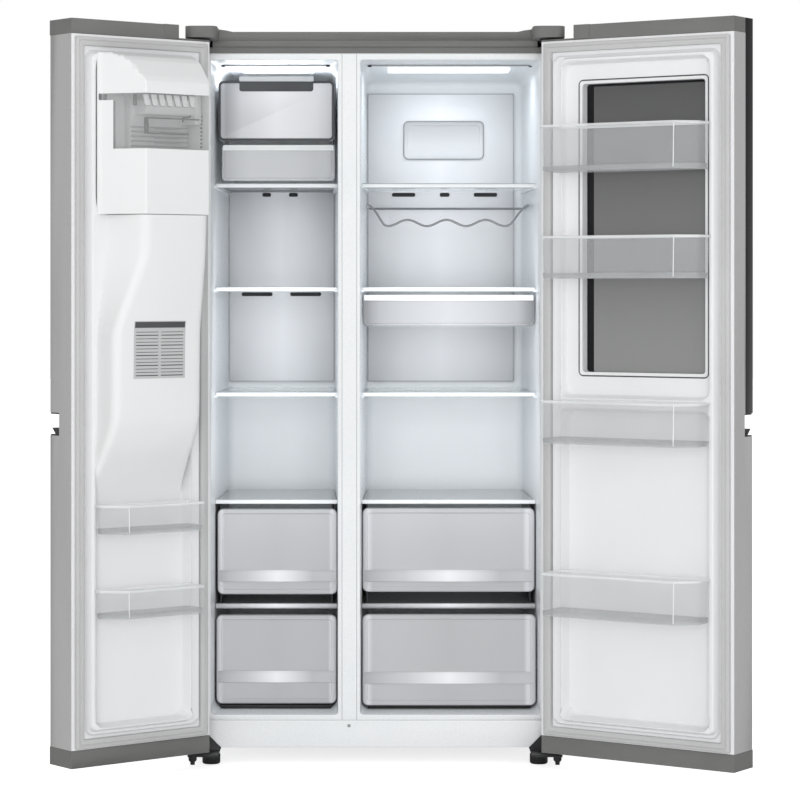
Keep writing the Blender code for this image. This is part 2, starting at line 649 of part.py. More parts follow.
def build_ice_system(door):
    """Cover with its window, and the tray, tank and feeler arm of the ice maker behind it."""
    width = door.width
    low, high, rise = 1.3325, 1.7080, BULGE[1]
    cover = door.stack([(low, 0.087, width - BULGE[0], width - 0.059, rise),
                        (1.640, 0.087, width - BULGE[0], width - 0.059, rise),
                        (1.690, 0.087, width - 0.110, width - 0.059, 0.085),
                        (high, 0.087, width - 0.100, width - 0.059, 0.050)])
    hollow = door.stack([(low + 0.003, 0.090, width - 0.126, width - 0.063, rise - 0.003),
                         (1.638, 0.090, width - 0.126, width - 0.063, rise - 0.003),
                         (1.687, 0.090, width - 0.113, width - 0.063, 0.082),
                         (high - 0.003, 0.090, width - 0.103, width - 0.063, 0.047)])
    behind = door.block((0, width), (-0.10, 0.0285), (low - 0.01, high + 0.01))
    window = door.block((0.070, width - 0.090), (0.075, 0.140), (1.483, 1.612))
    door.part("ice_cover", "white_plastic", [cover], [hollow, behind, window])

    tray = door.block((0.110, 0.250), (0.050, 0.100), (1.565, 1.600))
    motor = door.block((0.098, 0.116), (0.045, 0.105), (1.545, 1.615))
    tank = door.block((0.100, 0.262), (0.020, 0.052), (1.400, 1.620))
    cups = [door.block((u, u + 0.017), (0.054, 0.096), (1.574, 1.61))
            for u in (0.122, 0.143, 0.164, 0.185, 0.206, 0.227)]
    door.part("ice_maker", "white_plastic", [tray, motor, tank], cups)

    arm_rod = rod(door.xy(0, 0.108)[1:] + (1.556,), 0.0018, "x", door.x(0.106), door.x(0.256), 8)
    drop = door.block((0.250, 0.2536), (0.0962, 0.1098), (1.519, 1.5575))
    bail = door.block((0.130, 0.2536), (0.0962, 0.0998), (1.519, 1.5226))
    door.part("ice_arm", "silver", [arm_rod, drop, bail])


def build_dispenser(door, mouth):
    """Recess for a glass on the outside of the door, with the paddle that the glass pushes."""
    (u0, u1), (z0, z1) = mouth
    housing = door.block((u0 + GAP, u1 - GAP), (-DOOR_THICKNESS, -0.0225), (z0 + GAP, z1 - GAP))
    hollow = door.frontal(rounded((u0 + 0.008, u1 - 0.008), (z0 + 0.008, z1 - 0.110), 0.012),
                          (-0.12, -0.030))
    door.part("dispenser_housing", "black", [housing], [hollow])
    centre = (u0 + u1) / 2
    top = z1 - 0.114
    paddle = door.across([(-0.0640, top), (-0.0580, top), (-0.0610, top - 0.120),
                          (-0.0650, top - 0.120)], (centre - 0.025, centre + 0.025))
    origin = (*door.xy(centre, -0.0610), top)
    piece("freezer_door_dispenser_paddle", "grey_plastic", door.hang, [paddle], origin=origin)


def build_fridge_door(root):
    """Right door: a window behind a black glass front, and four bins."""
    door = Door("fridge_door", 1, FRIDGE_OPENING, root)
    width = door.width
    glass_back = GLASS_PANEL - DOOR_THICKNESS
    window_u, window_z = (0.110, width - 0.066), (0.955, 1.652)
    front_cut = [door.block((-0.01, width + 0.01), (-0.12, glass_back), (GROOVE_TOP, 2.0))]
    build_door_common(door, front_cut, -glass_back - GAP)

    tray, lip = liner_body(door)
    field, rim = raised_field(door)
    pans = [recess(door, (0.140, 0.870), -0.012), recess(door, (0.905, 1.695), 0.004)]
    window = door.frontal(rounded(window_u, window_z, 0.010), (-0.12, 0.05))
    door.part("liner", "white_plastic", [tray, lip, field, rim],
              [door.pin_hole((1.70, 1.80)), window] + pans)
    build_glass_unit(door, glass_back, window_u, window_z)

    for name, z in (("bin_top", (1.434, 1.544)), ("bin_upper", (1.183, 1.283)),
                    ("bin_middle", (0.795, 0.896)), ("bin_lower", (0.389, 0.491))):
        door_bin(door, name, z, 0.073, FRIDGE_BIN[0], FRIDGE_BIN_BASE, FRIDGE_BIN[1])


def build_glass_unit(door, back, window_u, window_z):
    """Black glass front, the glazed tunnel behind its window, and the pocket handle's lining.

    The front plate, the frame around it and the tunnel's walls and inner pane are one piece.
    """
    width = door.width
    wall_thickness = 0.004
    plate_back = wall_thickness - DOOR_THICKNESS
    low, high = GROOVE_TOP + GAP, DOOR_TOP
    low_top = DOOR_TOP - TOP_CAP + CAP_NOTCH_TOP
    panel = door.block((0, width), (-DOOR_THICKNESS, back - GAP), (low, high))
    pane_u = (window_u[0] + GAP, window_u[1] - GAP)
    pane_z = (window_z[0] + GAP, window_z[1] - GAP)
    tunnel = door.frontal(rounded(pane_u, pane_z, 0.010), (plate_back - 0.001, 0.0035))
    tab = door.block((0.002, width - 0.002), (-0.0900, -0.0600), (0.8662, low + 0.002))
    lining = door.across(CHANNEL, (0.002, width - 0.002))

    inner_u = (pane_u[0] + wall_thickness, pane_u[1] - wall_thickness)
    inner_z = (pane_z[0] + wall_thickness, pane_z[1] - wall_thickness)
    depth = (plate_back, 0.0)
    pockets = [((wall_thickness, pane_u[0]), (low + wall_thickness, low_top - wall_thickness)),
               ((pane_u[1], width - wall_thickness), (low + wall_thickness, low_top)),
               (pane_u, (low + wall_thickness, pane_z[0])),
               (pane_u, (pane_z[1], low_top - wall_thickness))]
    cuts = [door.block((-0.01, CAP_NOTCH), (-0.12, 0.01), (low_top, 2.0)),
            door.frontal(rounded(inner_u, inner_z, 0.008), (plate_back, WINDOW_PANE[0])),
            door.frontal(rounded(inner_u, inner_z, 0.008), (WINDOW_PANE[1], 0.010)),
            door.block((0.150, 0.156), (-0.080, -0.074), (pane_z[1] - 0.010, pane_z[1] + 0.010))]
    cuts += [door.block(u, depth, z) for u, z in pockets]
    door.part("glass_unit", "black_glass", [panel, tunnel, tab, lining], cuts)


# ---------------------------------------------------------------- whole model

def footprint_middle():
    """Middle of the standing model's footprint, doors open, in cabinet coordinates."""
    xs, ys = [-HALF, HALF], [0.0, CASE_DEPTH]
    for side, opening, (set_in, rise) in ((-1, FREEZER_OPENING, BULGE),
                                          (1, FRIDGE_OPENING, FRIDGE_BIN)):
        width = HALF - side * DOOR_SPLIT - DOOR_SIDE_GAP / 2
        turn = Matrix.Rotation(math.radians(side * opening), 2)
        for u, v in ((width, -DOOR_THICKNESS), (width, 0), (width - set_in, rise)):
            spot = turn @ Vector((side * (PIVOT_INSET - u), v + PIVOT_FORWARD))
            xs.append(side * (HALF - PIVOT_INSET) + spot.x)
            ys.append(PIVOT_Y + spot.y)
    return (min(xs) + max(xs)) / 2, (min(ys) + max(ys)) / 2


def main():
    for old in list(bpy.data.objects):
        bpy.data.objects.remove(old, do_unlink=True)
    middle_x, middle_y = footprint_middle()
    root = empty("cabinet", (0.0, 0.0, 0.0))
    root.location = (-middle_x, -middle_y, 0.0)
    build_case(root)
    build_top_cover(root)
    build_hinges(root)
    build_shelves(root)
    build_drawer_frame(root, "freezer_drawer_frame", FREEZER_SIDES)
    build_drawer_frame(root, "fridge_drawer_frame", FRIDGE_SIDES)
    build_drawers(root)
    build_fittings(root)
    build_freezer_door(root)
    build_fridge_door(root)


main()
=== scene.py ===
"""The looks of a side by side refrigerator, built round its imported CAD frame.

Cabinet coordinates are used for everything in the cabinet: x from its middle, y back from the
case's front edge, z up from the floor. A door's pieces are laid out in (u, v, z): u in from the
hinge-side edge, v out from the inner face towards the cabinet. One matrix for each of the three
takes them to the frame's coordinates.
"""
import json
import math

import bmesh
import bpy
import numpy as np
from mathutils import Matrix, Vector


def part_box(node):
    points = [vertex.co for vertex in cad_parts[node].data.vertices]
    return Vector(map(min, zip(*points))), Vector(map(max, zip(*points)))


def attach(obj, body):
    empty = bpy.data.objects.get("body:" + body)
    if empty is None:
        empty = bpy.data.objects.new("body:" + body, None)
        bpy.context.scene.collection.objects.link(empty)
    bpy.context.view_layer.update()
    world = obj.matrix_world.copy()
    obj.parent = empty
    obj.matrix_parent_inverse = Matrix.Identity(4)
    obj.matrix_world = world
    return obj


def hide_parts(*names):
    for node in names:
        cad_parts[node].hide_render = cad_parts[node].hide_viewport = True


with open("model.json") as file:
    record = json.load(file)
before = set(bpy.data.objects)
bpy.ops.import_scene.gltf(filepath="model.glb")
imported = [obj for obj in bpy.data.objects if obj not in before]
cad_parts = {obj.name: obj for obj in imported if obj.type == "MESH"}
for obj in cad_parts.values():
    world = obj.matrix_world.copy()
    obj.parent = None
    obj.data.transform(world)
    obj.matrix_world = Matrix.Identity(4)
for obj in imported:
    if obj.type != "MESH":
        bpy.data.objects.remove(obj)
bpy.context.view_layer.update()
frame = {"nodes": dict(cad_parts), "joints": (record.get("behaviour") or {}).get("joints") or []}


# ---------------------------------------------------------------- places

case_low, case_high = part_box("outer_case")
CABINET = Matrix.Translation(((case_low.x + case_high.x) / 2, case_low.y, 0))
HALF = (case_high.x - case_low.x) / 2
FROM_CABINET = CABINET.inverted()


def cabinet_box(node):
    """A cabinet node's box as ((x, x), (y, y), (z, z)) in cabinet coordinates."""
    low, high = (FROM_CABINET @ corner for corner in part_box(node))
    return tuple(zip(low, high))


PIVOT_INSET = 0.016        # hinge line in from the door's hinge-side edge
PIVOT_FORWARD = 0.048      # hinge line in front of the door's inner face
DOOR_SPLIT = -0.063        # x of the gap between the shut doors


class Door:
    """A door's body, width and the matrix that takes (u, v, z) to where it stands open."""

    def __init__(self, body, side):
        joint = next(j for j in frame["joints"] if j["child"] == body)
        self.body = body
        self.width = HALF - side * DOOR_SPLIT - 0.0025
        turn = Matrix.Rotation(-side * math.radians(joint["range_deg"][0]), 4, "Z")
        shut = Matrix(((-side, 0, 0, side * PIVOT_INSET), (0, 1, 0, PIVOT_FORWARD),
                       (0, 0, 1, 0), (0, 0, 0, 1)))
        x, y, _ = joint["pos_m"]
        self.matrix = Matrix.Translation((x, y, 0)) @ turn @ shut

    def make(self, name, bm, look, slot, replaces=(), smooth=35, body=None):
        """A finished piece laid out in the door's coordinates."""
        return make(name, bm, look, body or self.body, self.matrix, replaces, smooth)


FREEZER_DOOR = Door("freezer_door", -1)
FRIDGE_DOOR = Door("fridge_door", 1)

# Compartments: (left, right) at the front of each, and the walls' shape behind it.
FREEZER_SIDES = (-0.400, -0.090)
FRIDGE_SIDES = (-0.0365, 0.4025)
ROOMS = {"freezer": FREEZER_SIDES, "fridge": FRIDGE_SIDES}
LINER_FRONT = 0.0093
LINER_BACK = 0.565
WALL_TAPER = 0.015
ROOM_CEILING = 1.717
CEILING_FALL = 0.012
FLOOR_STEP = ((-1.0, 0.1216), (0.384, 0.1216), (0.396, 0.126), (0.400, 0.140), (0.403, 0.250),
              (0.412, 0.285), (0.428, 0.298), (0.445, 0.300), (1.0, 0.300))


def wall_x(sides, y, clear=0.0):
    """The two side walls' x at a depth."""
    come_in = WALL_TAPER * (y - LINER_FRONT) / (LINER_BACK - LINER_FRONT) + clear
    return sides[0] + come_in, sides[1] - come_in


def ceiling_z(y):
    """The ceiling falls towards the back."""
    return ROOM_CEILING - CEILING_FALL * (y - LINER_FRONT) / (LINER_BACK - LINER_FRONT)


def floor_z(y):
    """The floor steps up over the machine room at the back."""
    return float(np.interp(y, *zip(*FLOOR_STEP)))


# ---------------------------------------------------------------- materials

class Look:
    """A material's node tree, with short calls for what the looks share."""

    def __init__(self, name, colour, roughness, metallic=0.0, **sockets):
        self.material = bpy.data.materials.new(name)
        self.material.use_nodes = True
        self.tree = self.material.node_tree
        self.shader = self.tree.nodes["Principled BSDF"]
        self.shader.inputs["Base Color"].default_value = (*colour, 1)
        self.shader.inputs["Roughness"].default_value = roughness
        self.shader.inputs["Metallic"].default_value = metallic
        for socket, value in sockets.items():
            self.shader.inputs[socket.replace("_", " ")].default_value = value

    def node(self, kind, **values):
        made = self.tree.nodes.new(kind)
        for key, value in values.items():
            if key in made.inputs:
                made.inputs[key].default_value = value
            else:
                setattr(made, key, value)
        return made

    def link(self, out, into):
        self.tree.links.new(out, into)

    def object_position(self, stretch=(1, 1, 1), shift=(0, 0, 0)):
        coordinates = self.node("ShaderNodeTexCoord")
        mapping = self.node("ShaderNodeMapping", Scale=stretch, Location=shift)
        self.link(coordinates.outputs["Object"], mapping.inputs["Vector"])
        return mapping.outputs["Vector"]

    def noise(self, scale, detail=3.0, stretch=(1, 1, 1)):
        made = self.node("ShaderNodeTexNoise", Scale=scale, Detail=detail)
        self.link(self.object_position(stretch), made.inputs["Vector"])
        return made.outputs["Fac"]

    def ramp(self, value, stops):
        """A colour ramp from (place, colour) stops; a plain number is a grey."""
        made = self.node("ShaderNodeValToRGB")
        elements = made.color_ramp.elements
        while len(elements) < len(stops):
            elements.new(0.5)
        for element, (place, colour) in zip(elements, stops):
            element.position = place
            element.color = (colour,) * 3 + (1,) if isinstance(colour, float) else (*colour, 1)
        self.link(value, made.inputs["Fac"])
        return made.outputs["Color"]

    def shade(self, value, low, high):
        """Base colour that varies between two colours with a 0 to 1 value."""
        self.link(self.ramp(value, ((0.25, low), (0.75, high))), self.shader.inputs["Base Color"])
        return self

    def vary_roughness(self, value, low, high):
        self.link(self.ramp(value, ((0.3, low), (0.7, high))), self.shader.inputs["Roughness"])
        return self

    def bump(self, value, depth):
        made = self.node("ShaderNodeBump", Strength=1.0, Distance=depth)
        self.link(value, made.inputs["Height"])
        self.link(made.outputs["Normal"], self.shader.inputs["Normal"])
        return self


def brushed(name, low, high, stretch, roughness, depth=0.00003):
    """Metal with fine lines along its shortest stretch."""
    look = Look(name, high, roughness[0], 1.0)
    grain = look.noise(60, 4, stretch)
    look.shade(grain, low, high).vary_roughness(grain, *roughness).bump(grain, depth)
    return look.material


def moulded(name, low, high, roughness, grain, depth):
    """Moulded plastic or paint: slow colour drift, with a fine grain in its gloss and surface."""
    look = Look(name, high, roughness)
    look.shade(look.noise(5, 2), low, high)
    fine = look.noise(grain, 2)
    look.vary_roughness(fine, roughness - 0.05, roughness + 0.05).bump(fine, depth)
    return look.material


def see_through(name, low, high, roughness, alpha, grain=40, depth=0.00002):
    """Clear or opaque glossy sheet whose faint waviness shows; an opaque one reflects less."""
    reflects = 0.5 if alpha < 1 else 0.22
    look = Look(name, high, roughness, Alpha=alpha, Specular_IOR_Level=reflects)
    look.shade(look.noise(9, 2), low, high)
    look.bump(look.noise(grain, 2), depth)
    return look.material


def across(name, stops, span, roughness, metallic, alpha=1.0, axis=0):
    """A faintly blue grey finish that runs through stops across a span of one axis; the stops
    paint highlights, sheen and shade across the part.
    """
    stops = [(place, (value * 0.98, value * 0.99, min(value * 1.02, 1.0)))
             for place, value in stops]
    look = Look(name, (0.7, 0.7, 0.7), roughness, metallic, Alpha=alpha)
    low, high = span
    stretch, shift = [0.0, 0.0, 0.0], [0.0, 0.0, 0.0]
    stretch[axis] = 1 / (high - low)
    shift[axis] = -low / (high - low)
    separate = look.node("ShaderNodeSeparateXYZ")
    look.link(look.object_position(stretch, shift), separate.inputs["Vector"])
    look.link(look.ramp(separate.outputs[axis], stops), look.shader.inputs["Base Color"])
    look.bump(look.noise(300, 2), 0.00001)
    return look.material


def glow(name, colour, strength):
    """A lit diffuser."""
    look = Look(name, colour, 0.4)
    look.shader.inputs["Emission Color"].default_value = (*colour, 1)
    look.shader.inputs["Emission Strength"].default_value = strength
    look.bump(look.noise(400, 2), 0.00001)
    return look.material


# Each table's rows: finish, then the arguments of the function that makes it.
BRUSHED = {
    "steel": ("stainless", (0.67, 0.67, 0.668), (0.71, 0.71, 0.708), (8, 8, 0.25), (0.26, 0.38)),
    "galvanised": ("galvanised", (0.42, 0.43, 0.44), (0.55, 0.56, 0.57), (1, 1, 1), (0.35, 0.55)),
    "dark_wire": ("dark_wire", (0.08, 0.08, 0.085), (0.14, 0.14, 0.145), (1, 1, 1), (0.20, 0.30)),
    "wire": ("bright_wire", (0.60, 0.62, 0.64), (0.80, 0.81, 0.82), (1, 1, 1), (0.12, 0.22)),
}
MOULDED = {
    "white": ("white_moulding", (0.78, 0.785, 0.79), (0.80, 0.805, 0.81), 0.33, 900, 1e-5),
    "liner": ("liner_moulding", (0.83, 0.855, 0.875), (0.86, 0.885, 0.905), 0.30, 900, 1e-5),
    "paint": ("white_paint", (0.80, 0.82, 0.835), (0.84, 0.855, 0.87), 0.28, 500, 1e-5),
    "grey": ("grey_moulding", (0.145, 0.145, 0.14), (0.175, 0.175, 0.168), 0.45, 1200, 5e-5),
    # Black parts, and also painted shade: the vent openings, the ends of each ceiling lamp's
    # groove and the gap under the drawers.
    "black": ("black_moulding", (0.010, 0.010, 0.011), (0.020, 0.020, 0.021), 0.42, 900, 3e-5),
    "black_steel": ("black_powder_coat", (0.012, 0.012, 0.013), (0.024, 0.024, 0.025), 0.38, 1500,
                    6e-5),
    # Dark trim and print, and also painted shade: the gap round the ice compartment's front, its
    # grip recess and the ice tank's slots.
    "dark_gap": ("dark_trim", (0.05, 0.053, 0.058), (0.08, 0.085, 0.09), 0.35, 700, 2e-5),
    # The divider panel's grey, and also painted shade in the gaps round the ice tray's cups.
    "divider": ("divider_panel", (0.24, 0.245, 0.25), (0.28, 0.285, 0.29), 0.3, 700, 2e-5),
    "rack_wire": ("rack_wire", (0.15, 0.155, 0.165), (0.24, 0.245, 0.255), 0.2, 40, 2e-5),
    # Grey outlines and joint lines, and also the painted shade of the groove in front of each
    # ceiling lamp.
    "line": ("grey_outline", (0.30, 0.31, 0.32), (0.38, 0.39, 0.40), 0.4, 700, 1e-5),
    "pale_line": ("pale_outline", (0.58, 0.60, 0.62), (0.64, 0.66, 0.68), 0.4, 700, 1e-5),
    "door_liner": ("door_liner_moulding", (0.79, 0.795, 0.805), (0.82, 0.825, 0.835), 0.32, 900,
                   1e-5),
    "gasket": ("gasket_vinyl", (0.50, 0.50, 0.50), (0.54, 0.54, 0.54), 0.60, 600, 3e-5),
    "foam": ("foam", (0.62, 0.55, 0.34), (0.75, 0.68, 0.45), 0.9, 250, 4e-4),
    "ice_back": ("ice_maker_case", (0.50, 0.505, 0.51), (0.56, 0.565, 0.57), 0.4, 500, 2e-5),
    "label": ("label_sheet", (0.50, 0.50, 0.505), (0.53, 0.53, 0.535), 0.45, 300, 1e-5),
}
SEE_THROUGH = {
    "clear": ("clear_styrene", (0.80, 0.83, 0.85), (0.88, 0.90, 0.91), 0.07, 0.30),
    # Brighter, more opaque finishes for the edges of clear parts: painted highlights along lips,
    # rims and corners.
    "clear_edge": ("clear_edge", (0.86, 0.88, 0.89), (0.96, 0.97, 0.98), 0.10, 0.85),
    "bin": ("bin_styrene", (0.70, 0.72, 0.73), (0.78, 0.80, 0.81), 0.08, 0.13),
    "bin_edge": ("bin_edge", (0.84, 0.86, 0.87), (0.93, 0.94, 0.95), 0.10, 0.55),
    "bin_base": ("bin_base", (0.50, 0.52, 0.53), (0.58, 0.60, 0.61), 0.12, 0.35),
    "ice_pane": ("ice_pane", (0.66, 0.67, 0.67), (0.72, 0.73, 0.73), 0.06, 0.16),
    "glass": ("shelf_glass", (0.66, 0.74, 0.76), (0.74, 0.80, 0.82), 0.03, 0.30, 15, 1e-5),
    "cover_glass": ("cover_glass", (0.84, 0.86, 0.87), (0.90, 0.92, 0.93), 0.04, 0.62, 15, 1e-5),
    "glass_edge": ("glass_edge", (0.26, 0.31, 0.33), (0.38, 0.43, 0.45), 0.12, 0.85),
    "black_glass": ("black_glass", (0.006, 0.006, 0.008), (0.012, 0.012, 0.014), 0.10, 1.0, 6,
                    1e-5),
}


def make_looks():
    """Every finish that isn't laid out across one part."""
    made = {"lamp": glow("lamp_diffuser", (0.93, 0.97, 1.0), 1.0)}
    for table, finish in ((BRUSHED, brushed), (MOULDED, moulded), (SEE_THROUGH, see_through)):
        made.update({key: finish(*row) for key, row in table.items()})
    return made


LOOKS = make_looks()


# ---------------------------------------------------------------- shapes

def arc(centre, radius, start, end, steps):
    """Points along an arc, in degrees."""
    return [(centre[0] + radius * math.cos(math.radians(start + (end - start) * i / steps)),
             centre[1] + radius * math.sin(math.radians(start + (end - start) * i / steps)))
            for i in range(steps + 1)]


def drawn_in(span, inset):
    """A span brought in at both ends."""
    return span[0] + inset, span[1] - inset


def rounded(a, b, radius, steps=6):
    """A rounded rectangle between two (low, high) spans."""
    (a0, a1), (b0, b1) = a, b
    r = radius
    return (arc((a1 - r, b0 + r), r, -90, 0, steps) + arc((a1 - r, b1 - r), r, 0, 90, steps)
            + arc((a0 + r, b1 - r), r, 90, 180, steps)
            + arc((a0 + r, b0 + r), r, 180, 270, steps))


def soften(points, radii, steps=4):
    """An outline with each corner rounded by a quadratic curve of about its radius."""
    result = []
    count = len(points)
    for i, (point, radius) in enumerate(zip(points, radii)):
        here = Vector(point)
        before, after = Vector(points[i - 1]), Vector(points[(i + 1) % count])
        start = here + (before - here).normalized() * radius
        end = here + (after - here).normalized() * radius
        for k in range(steps + 1):
            t = k / steps
            spot = start * (1 - t) ** 2 + here * 2 * t * (1 - t) + end * t * t
            result.append(tuple(spot))
    return result


def add_loft(bm, rings, caps=True, cyclic=False):
    """Faces between closed rings of equal length; cyclic joins the last ring to the first."""
    made = [[bm.verts.new(point) for point in ring] for ring in rings]
    pairs = list(zip(made, made[1:])) + ([(made[-1], made[0])] if cyclic else [])
    count = len(rings[0])
    for low, high in pairs:
        for i in range(count):
            k = (i + 1) % count
            bm.faces.new((low[i], low[k], high[k], high[i]))
    if caps and not cyclic:
        bm.faces.new(list(reversed(made[0])))
        bm.faces.new(made[-1])


# A shape's (a, b) plan and its c, as the coordinates it stands in when c runs along an axis.
AXES = {"y": lambda a, b, c: (a, c, b), "z": lambda a, b, c: (a, b, c)}


def add_slab(bm, outline, axis, low, high, edge=0.0):
    """An outline given thickness along an axis, with its edges eased by a small bevel."""
    place = AXES[axis]
    if not edge:
        add_loft(bm, [[place(a, b, c) for a, b in outline] for c in (low, high)])
        return
    middle = np.mean(outline, axis=0)
    reach = np.abs(np.array(outline) - middle).max(0)
    eased = [tuple(middle + (np.array(point) - middle) * (1 - edge / reach))
             for point in outline]
    levels = [(low, eased), (low + edge, outline), (high - edge, outline), (high, eased)]
    add_loft(bm, [[place(a, b, c) for a, b in shape] for c, shape in levels])


def add_block(bm, x, y, z, edge=0.001, segments=2):
    """A box between three (low, high) spans, with rounded edges."""
    spans = [sorted(span) for span in (x, y, z)]
    size = [high - low for low, high in spans]
    centre = [(low + high) / 2 for low, high in spans]
    verts = bmesh.ops.create_cube(bm, size=1.0)["verts"]
    for vert in verts:
        vert.co = Vector([c + s * k for c, s, k in zip(centre, size, vert.co)])
    edges = list({e for v in verts for e in v.link_edges})
    width = min(edge, min(size) * 0.45)
    bmesh.ops.bevel(bm, geom=edges, offset=width, segments=segments, affect="EDGES",
                    profile=0.5)


def add_tube(bm, path, radius, closed=False, sides=8):
    """A round wire along a path that is never vertical for long."""
    turns = [2 * math.pi * i / sides for i in range(sides)]
    section = [(radius * math.cos(turn), radius * math.sin(turn)) for turn in turns]
    spots = [Vector(p) for p in path]
    count = len(spots)
    rings = []
    side = None
    for i, spot in enumerate(spots):
        before = spots[i - 1] if closed or i else spots[0]
        after = spots[(i + 1) % count] if closed or i < count - 1 else spots[-1]
        ahead = (after - before).normalized()
        guide = Vector((0, 0, 1)) if abs(ahead.z) < 0.9 or side is None else side.cross(ahead)
        side = ahead.cross(guide).normalized()
        up = side.cross(ahead).normalized()
        rings.append([tuple(spot + side * a + up * b) for a, b in section])
    add_loft(bm, rings, caps=not closed, cyclic=closed)


def add_turned(bm, profile, centre, axis, steps):
    """A (radius, height) profile turned about an axis through a point."""
    place = AXES[axis]
    rings = [[place(centre[0] + r * math.cos(2 * math.pi * i / steps),
                    centre[1] + r * math.sin(2 * math.pi * i / steps), h)
              for i in range(steps)] for r, h in profile]
    add_loft(bm, rings)


def add_stepped(bm, a, b, levels, radius, tighten=0.0, segments=6, cyclic=False):
    """Rounded rectangles in x and z, one for each (inset, y); corners tighten with the inset."""
    rings = []
    for inset, y in levels:
        corner = max(radius - inset * tighten, 0.003)
        outline = rounded(drawn_in(a, inset), drawn_in(b, inset), corner, segments)
        rings.append([(x, y, z) for x, z in outline])
    add_loft(bm, rings, cyclic=cyclic)


def add_frame(bm, outer, inner, low, high):
    """A flat ring between two (x, z) outlines of equal length, from low to high in y."""
    levels = ((outer, low), (outer, high), (inner, high), (inner, low))
    add_loft(bm, [[(x, y, z) for x, z in shape] for shape, y in levels], cyclic=True)


def make(name, bm, look, body="cabinet", at=CABINET, replaces=(), smooth=35):
    """Turns a bmesh laid out in a piece's own coordinates into a finished piece."""
    mesh = bpy.data.meshes.new(name)
    bm.to_mesh(mesh)
    bm.free()
    mesh.transform(at)
    check = bmesh.new()
    check.from_mesh(mesh)
    bmesh.ops.recalc_face_normals(check, faces=check.faces)
    check.to_mesh(mesh)
    check.free()
    mesh.materials.append(LOOKS[look])
    mesh.shade_smooth()
    mesh.set_sharp_from_angle(angle=math.radians(smooth))
    made = bpy.data.objects.new(name, mesh)
    bpy.context.scene.collection.objects.link(made)
    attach(made, body)
    if replaces:
        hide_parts(*replaces)
    return made


def keep(node, look, bevel=0.0012, segments=2):
    """Gives a CAD node its finish and eases its edges."""
    item = frame["nodes"][node]
    item.data.materials.clear()
    item.data.materials.append(LOOKS[look])
    if bevel:
        weld = item.modifiers.new("weld", "WELD")
        weld.merge_threshold = 0.00005
        rounding = item.modifiers.new("rounding", "BEVEL")
        rounding.width = bevel
        rounding.segments = segments
        rounding.limit_method = "ANGLE"
        rounding.angle_limit = math.radians(40)
        rounding.harden_normals = True
        item.data.shade_smooth()
        item.data.set_sharp_from_angle(angle=math.radians(40))
    return item


# ---------------------------------------------------------------- cabinet

def build_case():
    """The case, back, base, flange, kick panel, hinges, feet and rollers."""
    for row in (("outer_case", "steel", 0), ("back_panel", "galvanised", 0),
                ("base_pan", "galvanised", 0), ("insulation", "foam", 0),
                ("front_flange", "paint", 0.001), ("kick_panel", "paint", 0.0015),
                ("compressor", "black_steel", 0.002), ("top_cover", "grey", 0.003, 3)):
        keep(*row)
    for side in ("left", "right"):
        keep(f"upper_hinge_{side}", "black_steel", 0.0008)
        keep(f"lower_hinge_{side}", "black_steel", 0.0008)
        keep(f"levelling_foot_{side}", "black", 0.0008)
        keep(f"rear_roller_{side}", "black", 0.001)

    bm = bmesh.new()
    add_turned(bm, [(0.0001, -0.0022), (0.0030, -0.0020), (0.0042, -0.0006), (0.0042, 0.0010)],
               (-0.0635, 0.095), "y", 20)
    make("kick_panel_screw", bm, "line")
    bm = bmesh.new()
    for x in (-0.0804, -0.0446):
        add_block(bm, (x - 0.0006, x + 0.0006), (-0.0002, 0.0012), (0.1095, 1.7310), 0.0002)
    make("mullion_lines", bm, "line")


def build_back():
    """Cover over the machine room: a raised pressing with vent slots and its screws."""
    (_, _), (back, _), _ = cabinet_box("back_panel")
    back += 0.0020
    bm = bmesh.new()
    add_slab(bm, rounded((-0.440, 0.440), (0.055, 0.250), 0.010), "y", back, back + 0.0009,
             0.0003)
    make("machine_room_cover", bm, "galvanised")
    # Each vent slot is a black slab on the cover: painted shade inside the opening.
    bm = bmesh.new()
    for column in range(14):
        x = -0.36 + 0.045 * column
        for row in range(3):
            z = 0.090 + 0.050 * row
            add_slab(bm, rounded((x, x + 0.006), (z, z + 0.036), 0.0029, 3), "y",
                     back + 0.0009, back + 0.0011)
    make("machine_room_vents", bm, "black", smooth=20)
    bm = bmesh.new()
    spots = [(x, z) for x in (-0.43, -0.15, 0.15, 0.43) for z in (0.064, 0.241)]
    spots += [(x, z) for x in (-0.44, 0.44) for z in (0.50, 0.90, 1.30, 1.72)]
    for x, z in spots:
        add_turned(bm, [(0.0042, back + 0.0002), (0.0040, back + 0.0012),
                        (0.0020, back + 0.0014), (0.0001, back + 0.0014)], (x, z), "y", 16)
    make("back_screws", bm, "wire")


def build_liner(name, sides):
    """Moulded compartment, from rings round the opening that run back to a filleted wall."""
    fillet, skin = 0.022, 0.0024
    fronts = [LINER_FRONT, 0.030, 0.120, 0.384, 0.396, 0.400, 0.403, 0.412, 0.428, 0.445]
    stations = [(y, 0.0) for y in fronts]
    turns = [math.radians(15 * i) for i in range(7)]
    stations += [(LINER_BACK - fillet + fillet * math.sin(t), fillet * (1 - math.cos(t)))
                 for t in turns]

    def ring(y, draw_in, grow):
        left, right = wall_x(sides, y, draw_in - grow)
        low = floor_z(y - grow) + draw_in - grow
        high = ceiling_z(y) - draw_in + grow
        radius = min(0.008 + 0.25 * (y - LINER_FRONT), 0.024) + grow
        return [(x, min(y + grow * (y > 0.1), LINER_BACK + grow), z)
                for x, z in rounded((left, right), (low, high), radius, 6)]

    rings = [ring(y, inset, 0.0) for y, inset in reversed(stations)]
    rings += [ring(y, inset, skin) for y, inset in stations]
    bm = bmesh.new()
    add_loft(bm, rings)
    make(f"{name}_liner_moulding", bm, "liner", replaces=[f"{name}_liner"],
         smooth=50)


